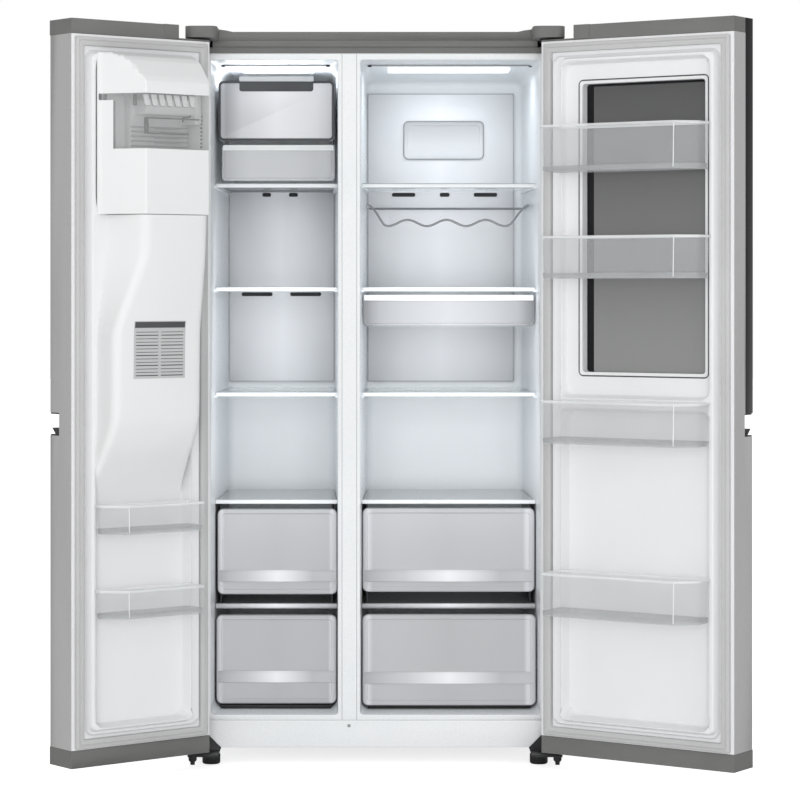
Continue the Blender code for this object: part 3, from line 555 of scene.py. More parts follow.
def build_shelf_rails(name, sides):
    """Ribs moulded along both side walls, under every shelf."""
    bm = bmesh.new()
    for _, top, _ in shelf_levels(name):
        for hand in (0, 1):
            sign = 1 if hand == 0 else -1
            reach = 0.007
            plan = [(wall_x(sides, y)[hand] + sign * depth, y)
                    for y, depth in ((0.100, 0.0002), (0.114, reach), (0.520, reach),
                                     (0.535, 0.0002))]
            add_slab(bm, plan, "z", top - 0.0125, top - 0.0055)
    make(f"{name}_shelf_rails", bm, "liner", smooth=30)


GLASS_BACK = 0.543
GLASS_CLEAR = 0.002        # between the glass and each side wall
TRIM_DEPTH = 0.0100


def shelf_levels(name):
    """(level, top, node) of a compartment's three shelves."""
    found = []
    for level in ("upper", "middle", "lower"):
        node = f"{name}_shelf_{level}"
        found.append((level, cabinet_box(node)[2][1] - 0.001, node))
    return found


def glass_plan(sides, front):
    """Corners of a sheet of glass between the side walls."""
    left, right = wall_x(sides, front, GLASS_CLEAR)
    back_left, back_right = wall_x(sides, GLASS_BACK, GLASS_CLEAR)
    return [(left, front + 0.004), (right, front + 0.004), (back_right, GLASS_BACK),
            (back_left, GLASS_BACK)]


def trim_profile(top, depth):
    """Side view of a shelf's front trim, (y, z), with a rounded nose."""
    return soften([(0.0, top - depth), (0.0, top), (0.0120, top), (0.0120, top - 0.006),
                   (0.0035, top - 0.0065), (0.0035, top - depth)],
                  (0.0012, 0.003, 0.0005, 0.0005, 0.0015, 0.0012), 3)


def add_trim(bm, sides, front, top, depth, clear=0.0012):
    """A trim between the side walls."""
    rings = []
    left, right = wall_x(sides, front, clear)
    for x in (left, right):
        rings.append([(x, front + y, z) for y, z in trim_profile(top, depth)])
    add_loft(bm, rings)


def build_shelf(name, sides, level, top, node):
    """Toughened glass on the wall ribs, its moulded trim and a thin edge above and below it."""
    front = cabinet_box(node)[1][0]
    bm = bmesh.new()
    add_slab(bm, glass_plan(sides, front), "z", top - 0.0042, top - 0.0002, 0.0004)
    make(f"{name}_shelf_{level}_glass", bm, "glass")
    bm = bmesh.new()
    add_trim(bm, sides, front, top, TRIM_DEPTH)
    make(f"{name}_shelf_{level}_trim", bm, "paint", replaces=[node])
    bm = bmesh.new()
    left, right = wall_x(sides, front, 0.0015)
    for low, high in ((top, top + 0.0009), (top - TRIM_DEPTH - 0.0014, top - TRIM_DEPTH)):
        add_block(bm, (left, right), (front + 0.0002, front + 0.0036), (low, high), 0.0003)
    make(f"{name}_shelf_{level}_edge", bm, "glass_edge")


def build_ceiling_lamps(name, x_span, lamp_span):
    """A dark bar with round black ends, painted as the shade in a groove across the ceiling, and
    the lit diffuser behind it.
    """
    y = 0.130
    bm = bmesh.new()
    z = ceiling_z(y)
    add_block(bm, x_span, (y - 0.004, y + 0.004), (z - 0.0035, z - 0.0004), 0.0012)
    make(f"{name}_lamp_groove_shade", bm, "line")
    bm = bmesh.new()
    for x in x_span:
        add_turned(bm, [(0.0056, z - 0.0002), (0.0056, z - 0.0040), (0.0040, z - 0.0052),
                        (0.0001, z - 0.0052)], (x, y), "z", 20)
    make(f"{name}_lamp_bar_ends", bm, "black")
    bm = bmesh.new()
    z = ceiling_z(0.30)
    add_block(bm, lamp_span, (0.20, 0.30), (z - 0.004, z - 0.0003), 0.0015)
    make(f"{name}_lamp", bm, "lamp")


VENT_HEIGHT = 0.009
VENTS = {"freezer": ((-0.295, -0.274, 1.4015), (-0.2255, -0.2035, 1.4015),
                     (-0.350, -0.270, 1.1405), (-0.222, -0.142, 1.1405)),
         "fridge": ((0.045, 0.105, 1.4015), (0.171, 0.195, 1.4015), (0.260, 0.320, 1.4015))}


def build_duct(name):
    """Brushed back panel with a painted sheen down its middle, its vents as black slabs of
    painted shade, and a bright line round its edge.
    """
    node = f"{name}_air_duct"
    keep(node, node, 0.0015, 3)
    x, (front, _), z = cabinet_box(node)
    # Each vent is a black slab: painted shade inside the opening.
    bm = bmesh.new()
    for low, high, bottom in VENTS[name]:
        add_slab(bm, rounded((low - 0.0006, high + 0.0006),
                             (bottom - 0.0006, bottom + VENT_HEIGHT + 0.0006), 0.0050, 5), "y",
                 front - 0.0004, front + 0.0120)
    make(f"{name}_vents", bm, "black", smooth=20)
    bm = bmesh.new()
    outlines = [rounded(drawn_in(x, inset), drawn_in(z, inset), radius)
                for inset, radius in ((0.0012, 0.004), (0.0026, 0.003))]
    add_frame(bm, *outlines, front - 0.0006, front + 0.0004)
    make(f"{name}_duct_edge", bm, "line")


def build_filter():
    """Air filter's housing on the fridge's back panel."""
    front = cabinet_box("fridge_air_duct")[1][0]
    x, z = (0.0762, 0.2838), (1.5002, 1.5974)
    bm = bmesh.new()
    levels = ((0.0, -0.0002), (0.0, 0.006), (0.0012, 0.0085), (0.004, 0.010), (0.009, 0.0102),
              (0.0105, 0.0085))
    add_stepped(bm, x, z, [(inset, front - depth) for inset, depth in levels], 0.012)
    make("air_filter_cover", bm, "filter")
    bm = bmesh.new()
    outer = rounded((x[0] - 0.0025, x[1] + 0.0025), (z[0] - 0.0025, z[1] + 0.0025), 0.0145)
    inner = rounded(drawn_in(x, 0.0005), drawn_in(z, 0.0005), 0.0115)
    add_frame(bm, outer, inner, front - 0.005, front - 0.0001)
    make("air_filter_rim", bm, "line")


def build_wine_rack():
    """Bent wire that holds bottles: waves across its front, and a loop back to its rear rod."""
    (x0, x1), (y0, y1), (z0, z1) = cabinet_box("wine_rack")
    low, high, waves, steps = z0 + 0.0055, z0 + 0.021, 3, 60
    start, end = x0 + 0.0555, x1 - 0.0685
    front = [(start + (end - start) * i / steps, y0 + 0.004,
              (low + high) / 2 - (high - low) / 2 * math.cos(2 * math.pi * waves * i / steps))
             for i in range(steps + 1)]
    bend = ((0.10, 0.0, 0.02), (0.22, 0.001, 0.10), (0.36, 0.004, 0.30), (0.52, 0.012, 0.56),
            (0.68, 0.024, 0.78), (0.82, 0.040, 0.92), (0.93, 0.062, 0.99), (0.985, 0.090, 1.0))
    top = z1 - 0.006
    right = [(end + (x1 - 0.004 - end) * dx, y0 + 0.004 + dy, low + (top - low) * dz)
             for dx, dy, dz in bend]
    left = [(start + (x0 + 0.004 - start) * dx, y0 + 0.004 + dy, low + (top - low) * dz)
            for dx, dy, dz in reversed(bend)]
    back = [(a, b, top - 0.001) for a, b in (
        (x1 - 0.005, y1 - 0.040), (x1 - 0.008, y1 - 0.016), (x1 - 0.020, y1 - 0.004),
        (x0 + 0.020, y1 - 0.004), (x0 + 0.008, y1 - 0.016), (x0 + 0.005, y1 - 0.040))]
    bm = bmesh.new()
    add_tube(bm, front + right + back + left, 0.0028, closed=True)
    make("wine_rack_wire", bm, "rack_wire", replaces=["wine_rack"], smooth=50)


def build_ice_compartment():
    """Drop-in compartment: satin front with painted sheen across it, ringed by a dark frame of
    painted gap shade, with its grip recess painted dark as shade.
    """
    (x0, x1), (front, _), (z0, z1) = cabinet_box("ice_compartment")
    keep("ice_compartment", "white", 0.001)
    # A dark frame round the front: painted shade in the gap round it.
    bm = bmesh.new()
    outline = rounded((x0, x1), (z0, z1), 0.012)
    inner = rounded((x0 + 0.0055, x1 - 0.0055), (z0 + 0.0055, z1 - 0.0055), 0.008)
    add_frame(bm, outline, inner, front - 0.004, front + 0.002)
    make("ice_compartment_gap_shade", bm, "dark_gap")
    bm = bmesh.new()
    grip = ((x0 + 0.052, x1 - 0.052), (z1 - 0.026, z1 - 0.0055))
    levels = ((0.0058, -0.001), (0.0058, 0.004), (0.0075, 0.0055))
    add_stepped(bm, (x0, x1), (z0, z1), [(inset, front - depth) for inset, depth in levels],
                0.008)
    make("ice_compartment_front", bm, "satin")
    # A dark sheet at the back of the grip recess: painted shade.
    bm = bmesh.new()
    add_slab(bm, rounded(grip[0], (grip[1][0], z1 + 0.001), 0.006), "y", front - 0.0066,
             front - 0.0052, 0.0004)
    make("ice_compartment_grip_shade", bm, "dark_gap")
    bm = bmesh.new()
    add_block(bm, (grip[0][0] - 0.0005, grip[0][1] + 0.0005), (front - 0.010, front + 0.004),
              (z1 - 0.0015, z1 + 0.011), 0.002, 3)
    make("ice_compartment_latch", bm, "pale_line")


# ---------------------------------------------------------------- drawers

def drawer_front(bm, x, front, z, thickness, frame_width, radius):
    """A front panel with a raised rounded frame round its sunk field."""
    steps = ((0.0, thickness), (0.0, 0.0030), (0.0022, 0.0), (frame_width, 0.0),
             (frame_width + 0.0022, 0.0026))
    add_stepped(bm, x, z, [(inset, front + depth) for inset, depth in steps], radius, 0.6)


def drawer_tub(bm, x, y, z, wall, draft, radius=0.016):
    """A thin-walled open box whose walls draw in towards its floor."""
    levels = ((z[0], draft), (z[0] + 0.004, draft * 0.6), (z[1], 0.0))

    def ring(height, inset, inner=0.0):
        plan = rounded((x[0] + inset + inner, x[1] - inset - inner),
                       (y[0] + inner, y[1] - inset - inner), radius - inner)
        return [(a, b, height) for a, b in plan]

    inside = ((z[1], 0.0), (z[0] + 0.006, draft * 0.6), (z[0] + wall, draft + 0.002))
    add_loft(bm, [ring(*level) for level in levels] + [ring(*level, wall) for level in inside])


# Each drawer: how far its tub is drawn in, and the (low, high) of the grip band on its front.
DRAWERS = {"freezer_drawer_upper": (0.018, (0.4316, 0.4610)),
           "freezer_drawer_lower": (0.012, (0.1840, 0.2135)),
           "fridge_drawer_upper": (0.018, (0.4316, 0.4614)),
           "fridge_drawer_lower": (0.012, (0.1843, 0.2140))}
TUB_BELOW_FRONT = 0.030    # a tub's rim below the top of its front


def build_drawer(node, inset, band):
    """Clear tub, framed front with painted highlights near both sides, and the silver grip band
    across it with a painted reflection along it.
    """
    x, y, z = cabinet_box(node)
    front = y[0]
    bm = bmesh.new()
    drawer_tub(bm, drawn_in(x, inset), (front + 0.006, y[1]),
               (z[0] + 0.003, z[1] - TUB_BELOW_FRONT), 0.0028, 0.006)
    make(f"{node}_tub", bm, "clear", node)
    bm = bmesh.new()
    drawer_front(bm, x, front + 0.0016, z, 0.0080, 0.011, 0.014)
    make(f"{node}_front", bm, f"{node}_front", node, replaces=[node])
    bm = bmesh.new()
    low, high = band
    profile = soften([(front + 0.0050, low), (front, low + 0.001), (front + 0.0016, high - 0.006),
                      (front, high), (front + 0.0050, high)],
                     (0.0005, 0.001, 0.002, 0.001, 0.0005), 3)
    add_loft(bm, [[(a, b, c) for b, c in profile] for a in drawn_in(x, 0.0045)])
    make(f"{node}_band", bm, f"{node}_band", node)
    bm = bmesh.new()
    add_frame(bm, rounded(drawn_in(x, 0.0005), drawn_in(z, 0.0005), 0.0135),
              rounded(drawn_in(x, 0.0018), drawn_in(z, 0.0018), 0.0125),
              front + 0.0015, front + 0.0040)
    make(f"{node}_outline", bm, "line", node)


def build_drawer_frame(name, sides):
    """Glass cover over the drawers, the divider between them with a painted highlight along its
    trim, its legs and a black slab painted as the shadow in the gap under the drawers.
    """
    node = f"{name}_drawer_frame"
    x, (front, _), (divider_low, cover_top) = cabinet_box(node)
    divider_top = divider_low + 0.016
    bm = bmesh.new()
    plan = glass_plan(sides, front)
    add_slab(bm, plan, "z", cover_top - 0.0062, cover_top - 0.0020, 0.0004)
    make(f"{name}_drawer_cover_glass", bm, "cover_glass")
    bm = bmesh.new()
    add_trim(bm, sides, front, cover_top, 0.0095)
    make(f"{name}_drawer_cover_trim", bm, "paint", replaces=[node])
    bm = bmesh.new()
    rings = []
    profile = soften([(0.0, divider_top - 0.013), (0.0, divider_top), (0.014, divider_top),
                      (0.014, divider_top - 0.013)], (0.005, 0.005, 0.002, 0.002), 4)
    for a in wall_x(sides, front, 0.0015):
        rings.append([(a, front + b, c) for b, c in profile])
    add_loft(bm, rings)
    make(f"{name}_divider_trim", bm, f"{name}_divider")
    bm = bmesh.new()
    plan[:2] = [(corner, front + 0.0145) for corner, _ in plan[:2]]
    add_slab(bm, plan, "z", divider_top - 0.0068, divider_top - 0.0012, 0.0004)
    make(f"{name}_divider_panel", bm, "divider")
    bm = bmesh.new()
    for hand, sign in ((0, 1), (1, -1)):
        a = wall_x(sides, 0.530, 0.0015)[hand]
        add_block(bm, (a, a + sign * 0.0028), (0.148, 0.530),
                  (divider_top - 0.004, cover_top - 0.003), 0.0005)
    make(f"{name}_drawer_legs", bm, "dark_gap")
    # A black slab under the lower drawers: painted shadow in the gap below them.
    bm = bmesh.new()
    add_block(bm, drawn_in(x, 0.014), (0.100, 0.380), (0.1222, 0.1300), 0.001)
    make(f"{name}_drawer_gap_shadow", bm, "black")


def build_open_box(node, inset, look_front, rim_depth=0.014):
    """The utility box or ice bin: a clear tub with a lipped front; the front's finish paints
    sheen across it and the lip's a highlight along it.
    """
    x, y, z = cabinet_box(node)
    bm = bmesh.new()
    drawer_tub(bm, drawn_in(x, inset), (y[0] + 0.005, y[1]), (z[0] + 0.001, z[1] - 0.004),
               0.0026, 0.006, 0.012)
    make(f"{node}_tub", bm, "clear", node)
    bm = bmesh.new()
    drawer_front(bm, x, y[0] + 0.0006, z, 0.0065, 0.0060, 0.010)
    make(f"{node}_front", bm, look_front, node, replaces=[node])
    # The lip's brighter, more opaque finish is a painted highlight.
    bm = bmesh.new()
    profile = soften([(y[0], z[1] - rim_depth), (y[0], z[1]), (y[0] + 0.008, z[1]),
                      (y[0] + 0.008, z[1] - 0.003), (y[0] + 0.0025, z[1] - rim_depth)],
                     (0.0006, 0.002, 0.001, 0.001, 0.0006), 3)
    add_loft(bm, [[(a, b, c) for b, c in profile] for a in drawn_in(x, 0.003)])
    make(f"{node}_lip", bm, "clear_edge", node)


# ---------------------------------------------------------------- doors

def rise(distance, width):
    """0 outside, 1 inside, turning smoothly over a width."""
    t = np.clip(distance / width + 0.5, 0, 1)
    return t * t * (3 - 2 * t)


def inside_rounded(u, z, span_u, span_z, radius):
    """Distance inside a rounded rectangle; negative outside it."""
    centre = ((span_u[0] + span_u[1]) / 2, (span_z[0] + span_z[1]) / 2)
    half = ((span_u[1] - span_u[0]) / 2 - radius, (span_z[1] - span_z[0]) / 2 - radius)
    du, dz = np.abs(u - centre[0]) - half[0], np.abs(z - centre[1]) - half[1]
    outside = np.hypot(np.maximum(du, 0), np.maximum(dz, 0))
    return radius - outside - np.minimum(np.maximum(du, dz), 0)


def grid_lines(low, high, pitch, edges, width):
    """Grid lines at a pitch, closer together round each edge."""
    lines = list(np.arange(low, high, pitch)) + [low, high]
    for edge in edges:
        lines += [edge + width * k / 6 for k in range(-4, 5)]
    lines = sorted(line for line in lines if low <= line <= high)
    kept = [lines[0]]
    for line in lines[1:]:
        if line - kept[-1] > 0.0009:
            kept.append(line)
    kept[-1] = high
    return np.array(kept)


FIELD_EDGE = 0.0345
FIELD = (0.117, 1.716)
RIM_HINGE_EDGE = 0.0615
RIM = (0.126, 1.712)
FIELD_RISE = 0.0103        # of the field over the door's inner face
RIM_RISE = 0.0172          # of the rim over the field
PAN_HINGE_EDGE = 0.0705
PAN_FREE_EDGE = 0.055


def door_surface(door, u, z, pans):
    """Height of a door's moulded inner face: its low field, rim and the pans sunk in it."""
    free = door.width - FIELD_EDGE
    field = inside_rounded(u, z, (FIELD_EDGE, free), FIELD, 0.022)
    rim = inside_rounded(u, z, (RIM_HINGE_EDGE, free), RIM, 0.020)
    height = FIELD_RISE * rise(field - 0.002, 0.004) + RIM_RISE * rise(rim - 0.004, 0.007)
    for span_z, floor in pans:
        span_u = (PAN_HINGE_EDGE, door.width - PAN_FREE_EDGE)
        sunk = rise(inside_rounded(u, z, span_u, span_z, 0.020) + 0.001, 0.009)
        height = height * (1 - sunk) + floor * sunk
    return height


def add_moulded_sheet(bm, u, z, height, back, hole=None):
    """A closed sheet between two height fields; a single number makes the back flat."""
    back = np.broadcast_to(back, height.shape)
    front = [[bm.verts.new((a, height[j][i], b)) for i, a in enumerate(u)]
             for j, b in enumerate(z)]
    rear = [[bm.verts.new((a, back[j][i], b)) for i, a in enumerate(u)]
            for j, b in enumerate(z)]

    def solid(i, j):
        if not (0 <= i < len(u) - 1 and 0 <= j < len(z) - 1):
            return False
        return hole is None or not hole((u[i] + u[i + 1]) / 2, (z[j] + z[j + 1]) / 2)

    for j in range(len(z) - 1):
        for i in range(len(u) - 1):
            if not solid(i, j):
                continue
            corners = ((j, i), (j, i + 1), (j + 1, i + 1), (j + 1, i))
            bm.faces.new([front[a][b] for a, b in corners])
            bm.faces.new([rear[a][b] for a, b in reversed(corners)])
            for (di, dj), (p, q) in (((0, -1), (0, 1)), ((1, 0), (1, 2)), ((0, 1), (2, 3)),
                                     ((-1, 0), (3, 0))):
                if not solid(i + di, j + dj):
                    (a, b), (c, d) = corners[p], corners[q]
                    bm.faces.new((rear[a][b], rear[c][d], front[c][d], front[a][b]))
    loose = [v for v in bm.verts if not v.link_faces]
    bmesh.ops.delete(bm, geom=loose, context="VERTS")


def build_door_common(door):
    """Skin, caps, the plug in the top cap and the gasket of one door."""
    name = door.body
    keep(f"{name}_skin", "steel", 0.0006)
    keep(f"{name}_top_cap", "grey", 0.0015, 3)
    keep(f"{name}_bottom_cap", "grey", 0.0015, 3)
    bm = bmesh.new()
    edge_u, edge_z = (0.010, door.width - 0.0085), (0.089, 1.746)
    profile = ((0.0, 0.0004), (0.0, 0.0080), (0.0020, 0.0098), (0.0070, 0.0100),
               (0.0082, 0.0086), (0.0092, 0.0086), (0.0104, 0.0110), (0.0185, 0.0112),
               (0.0205, 0.0098), (0.0215, 0.0060), (0.0215, 0.0004))
    add_stepped(bm, edge_u, edge_z, profile, 0.004, segments=3, cyclic=True)
    door.make(f"{name}_gasket_profile", bm, "gasket", "gasket", [f"{name}_gasket"])
    bm = bmesh.new()
    top = 1.788
    add_turned(bm, [(0.0075, top - 0.004), (0.0075, top - 0.0012), (0.0060, top - 0.0002),
                    (0.0001, top - 0.0002)], (door.width * 0.55, -0.010), "z", 24)
    door.make(f"{name}_cap_plug", bm, "grey", "grey_plastic")


# Bins: the hinge-side wall in from the hinge edge, the front's and the base's free corners in
# from the free edge, and how far the front stands off the door.
FREEZER_BIN = (0.081, 0.093, 0.043, 0.100)
FRIDGE_BIN = (0.073, 0.086, 0.0445, 0.130)


def bin_plan(door, hinge, front, base, rise_v, inset=0.0, back=0.0292):
    """Plan of a door bin, its walls drawn in by an inset."""
    free_front, free_base = door.width - front, door.width - base
    points = [(hinge + inset, back + inset), (hinge + inset, rise_v - inset),
              (free_front - inset * 0.6, rise_v - inset),
              (free_base - inset, rise_v - 0.045 - inset * 0.4),
              (free_base - inset, back + inset)]
    return soften(points, (0.004, 0.008, 0.006, 0.005, 0.004), 4)


def build_bin(door, name, hinge, front, base, rise_v):
    """Clear bin: drafted walls, a rolled rim with a painted highlight along it, a thin painted
    highlight down its front corner and a thicker tinted base.
    """
    node = f"{door.body}_{name}"
    low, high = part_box(node)[0].z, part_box(node)[1].z

    def ring(z, inset):
        return [(u, v, z) for u, v in bin_plan(door, hinge, front, base, rise_v, inset)]

    bm = bmesh.new()
    add_loft(bm, [ring(low, 0.006), ring(low + 0.004, 0.0042), ring(high - 0.004, 0.0008),
                  ring(high - 0.004, 0.0030), ring(low + 0.006, 0.0064),
                  ring(low + 0.0035, 0.0080)])
    door.make(f"{node}_shell", bm, "bin", "clear_plastic", [node])
    # The rim's brighter, more opaque finish is a painted highlight.
    bm = bmesh.new()
    add_loft(bm, [ring(high - 0.0060, 0.0003), ring(high - 0.0010, 0.0), ring(high, 0.0012),
                  ring(high - 0.0002, 0.0032), ring(high - 0.0060, 0.0036)], cyclic=True)
    door.make(f"{node}_rim", bm, "bin_edge", "clear_plastic")
    # A thin bright rod down the front corner: a painted highlight.
    bm = bmesh.new()
    corner_u = door.width - front
    add_tube(bm, [(corner_u - 0.0046, rise_v - 0.0046, low + 0.004),
                  (corner_u - 0.0016, rise_v - 0.0018, high - 0.006)], 0.0013)
    door.make(f"{node}_corner", bm, "clear_edge", "clear_plastic")
    bm = bmesh.new()
    add_loft(bm, [ring(low + 0.0002, 0.0050), ring(low + 0.0040, 0.0036),
                  ring(low + 0.0130, 0.0030), ring(low + 0.0130, 0.0040),
                  ring(low + 0.0045, 0.0060)], cyclic=True)
    door.make(f"{node}_base", bm, "bin_base", "clear_plastic")


PAN_FLOOR = -0.012
WINDOW_PANEL = 0.004       # floor of the pan that holds the fridge door's window
# The chute's housing by height: z, hinge edge, front corner, base corner, rise.
CHUTE = ((0.650, 0.084, 0.048, 0.046, -0.0118), (0.700, 0.084, 0.048, 0.046, 0.0100),
         (0.790, 0.087, 0.050, 0.048, 0.0700), (0.850, 0.087, 0.057, 0.050, 0.0950),
         (1.060, 0.087, 0.057, 0.050, 0.0980), (1.230, 0.087, 0.122, 0.057, 0.1200),
         (1.331, 0.087, 0.124, 0.059, 0.1250))


def chute_sections(heights):
    """(hinge edge, front corner, base corner, rise) of the chute at each height, smoothed."""
    table = np.array(CHUTE)
    fine = np.arange(CHUTE[0][0], CHUTE[-1][0] + 0.001, 0.003)
    soft = np.array([np.interp(fine, table[:, 0], table[:, k]) for k in range(1, 5)])
    for _ in range(40):
        padded = np.pad(soft, ((0, 0), (1, 1)), mode="edge")
        soft = (padded[:, :-2] + 2 * padded[:, 1:-1] + padded[:, 2:]) / 4
    return np.array([np.interp(heights, fine, row) for row in soft]).T


def build_chute(door):
    """Ice chute's housing: a bulge that swells from the pan's floor up to the cover."""
    heights = np.concatenate([np.linspace(CHUTE[0][0], 0.86, 24), np.linspace(0.88, 1.331, 26)])
    rings = []
    for z, (hinge, front, base, lift) in zip(heights, chute_sections(heights)):
        free_front, free_base = door.width - front, door.width - base
        corner = float(np.clip((lift - PAN_FLOOR) * 0.35, 0.0004, 0.022))
        outline = soften([(hinge, PAN_FLOOR - 0.001), (hinge, lift), (free_front, lift),
                          (free_base, PAN_FLOOR - 0.001)],
                         (0.0003, corner, corner, 0.0003), 6)
        rings.append([(u, v, z) for u, v in outline])
    bm = bmesh.new()
    add_loft(bm, rings)
    return bm


def build_freezer_door():
    """Left door: moulded liner with the ice chute, the ice system's cover and two bins."""
    door = FREEZER_DOOR
    build_door_common(door)
    keep("freezer_door_handle_lining", "black", 0.0006)
    keep("freezer_door_dispenser_housing", "black", 0.002, 3)
    keep("freezer_door_dispenser_paddle", "grey", 0.001)
    pans = (((0.140, 0.800), PAN_FLOOR), ((1.345, 1.695), PAN_FLOOR))
    build_door_liner(door, pans)
    door.make("freezer_door_chute", build_chute(door), "white", "white_plastic", smooth=60)
    build_ice_system(door)
    build_label(door)
    for name in ("bin_upper", "bin_lower"):
        build_bin(door, name, *FREEZER_BIN)


def build_door_liner(door, pans, hole_u=None, hole_z=None):
    """The moulded inner face of a door, with the lip that covers the skin's edges."""
    low, high = 0.0862, 1.7522
    width = door.width
    edges_u = [FIELD_EDGE + 0.002, RIM_HINGE_EDGE + 0.004, PAN_HINGE_EDGE, width - FIELD_EDGE,
               width - FIELD_EDGE - 0.004, width - PAN_FREE_EDGE]
    edges_z = [FIELD[0] + 0.002, RIM[0] + 0.004, RIM[1] - 0.004, FIELD[1] - 0.002]
    edges_z += [z for span, _ in pans for z in span]
    hole = None
    if hole_u:
        edges_u += list(hole_u)
        edges_z += list(hole_z)
    lines_u = grid_lines(0.0003, width - 0.0003, 0.008, edges_u, 0.007)
    lines_z = grid_lines(low, high, 0.012, edges_z, 0.007)
    if hole_u:
        lines_u = snapped(lines_u, hole_u)
        lines_z = snapped(lines_z, hole_z)

        def hole(u, z):
            return hole_u[0] < u < hole_u[1] and hole_z[0] < z < hole_z[1]

    grid_u, grid_z = np.meshgrid(lines_u, lines_z)
    height = door_surface(door, grid_u, grid_z, pans)
    bm = bmesh.new()
    add_moulded_sheet(bm, lines_u, lines_z, height, -0.0145, hole)
    door.make(f"{door.body}_liner_moulding", bm, "door_liner", "white_plastic",
              [f"{door.body}_liner"], smooth=60)


def snapped(lines, targets):
    """Grid lines with the nearest one moved onto each target."""
    moved = lines.copy()
    for target in targets:
        moved[np.abs(moved - target).argmin()] = target
    return moved


COVER_Z = (1.3325, 1.7080)
ICE_WINDOW_Z = (1.484, 1.6125)
ICE_BAND_Z = 1.597         # the window's top band runs on to the cover's free edge above this


def cover_height(door, u, z):
    """Rise of the ice system's cover over the door: flat front, slanted side, sloped top."""
    width = door.width
    side = np.interp(u, (0.0870, 0.0882, 0.0900, width - 0.127, width - 0.122, width - 0.062,
                         width - 0.058, width - 0.052),
                     (0.0290, 0.1235, 0.1250, 0.1250, 0.1222, 0.0352, 0.0316, 0.0305))
    top = np.interp(z, (COVER_Z[0], 1.640, 1.652, 1.690, 1.700, COVER_Z[1]),
                    (0.1250, 0.1250, 0.1180, 0.0870, 0.0740, 0.0520))
    return np.minimum(side, top)


def build_ice_cover(door):
    """Thin shell over the ice maker, and the clear pane let into its front and slanted side."""
    width = door.width
    shell = 0.003
    window_u, band_u = (0.0895, width - 0.0775), (width - 0.0775, width - 0.0545)
    lines_u = grid_lines(0.0870, width - 0.052, 0.010, [0.0882, width - 0.124, width - 0.060],
                         0.006)
    lines_u = snapped(lines_u, (*window_u, band_u[1]))
    lines_z = snapped(grid_lines(*COVER_Z, 0.012, [1.645, 1.695], 0.010),
                      (*ICE_WINDOW_Z, ICE_BAND_Z))

    def hole(u, z):
        if not ICE_WINDOW_Z[0] < z < ICE_WINDOW_Z[1]:
            return False
        return window_u[0] < u < window_u[1] or (z > ICE_BAND_Z and window_u[0] < u < band_u[1])

    height = cover_height(door, *np.meshgrid(lines_u, lines_z))
    bm = bmesh.new()
    add_moulded_sheet(bm, lines_u, lines_z, height, height - shell, hole)
    door.make("freezer_door_ice_cover_shell", bm, "white", "white_plastic",
              ["freezer_door_ice_cover"], smooth=25)

    lines_u = grid_lines(window_u[0] + 0.0002, band_u[1] - 0.0002, 0.010, [width - 0.124], 0.006)
    lines_z = np.linspace(ICE_WINDOW_Z[0] + 0.0002, ICE_WINDOW_Z[1] - 0.0002, 8)
    height = cover_height(door, *np.meshgrid(lines_u, lines_z)) - 0.0009
    bm = bmesh.new()
    add_moulded_sheet(bm, lines_u, lines_z, height, height - 0.0018,
                      lambda u, z: u > window_u[1] and z < ICE_BAND_Z - 0.002)
    door.make("ice_window_pane", bm, "ice_pane", "clear_plastic", smooth=25)


def cup_outline(u, z, grow):
    """Outline of one leaning cup of the ice tray, (u, z)."""
    low, high = z
    corners = [(u - grow, low), (u + 0.0130 + grow, low), (u + 0.0195 + grow, high),
               (u + 0.0045 - grow, high)]
    return soften(corners, (0.003, 0.003, 0.002, 0.002), 3)


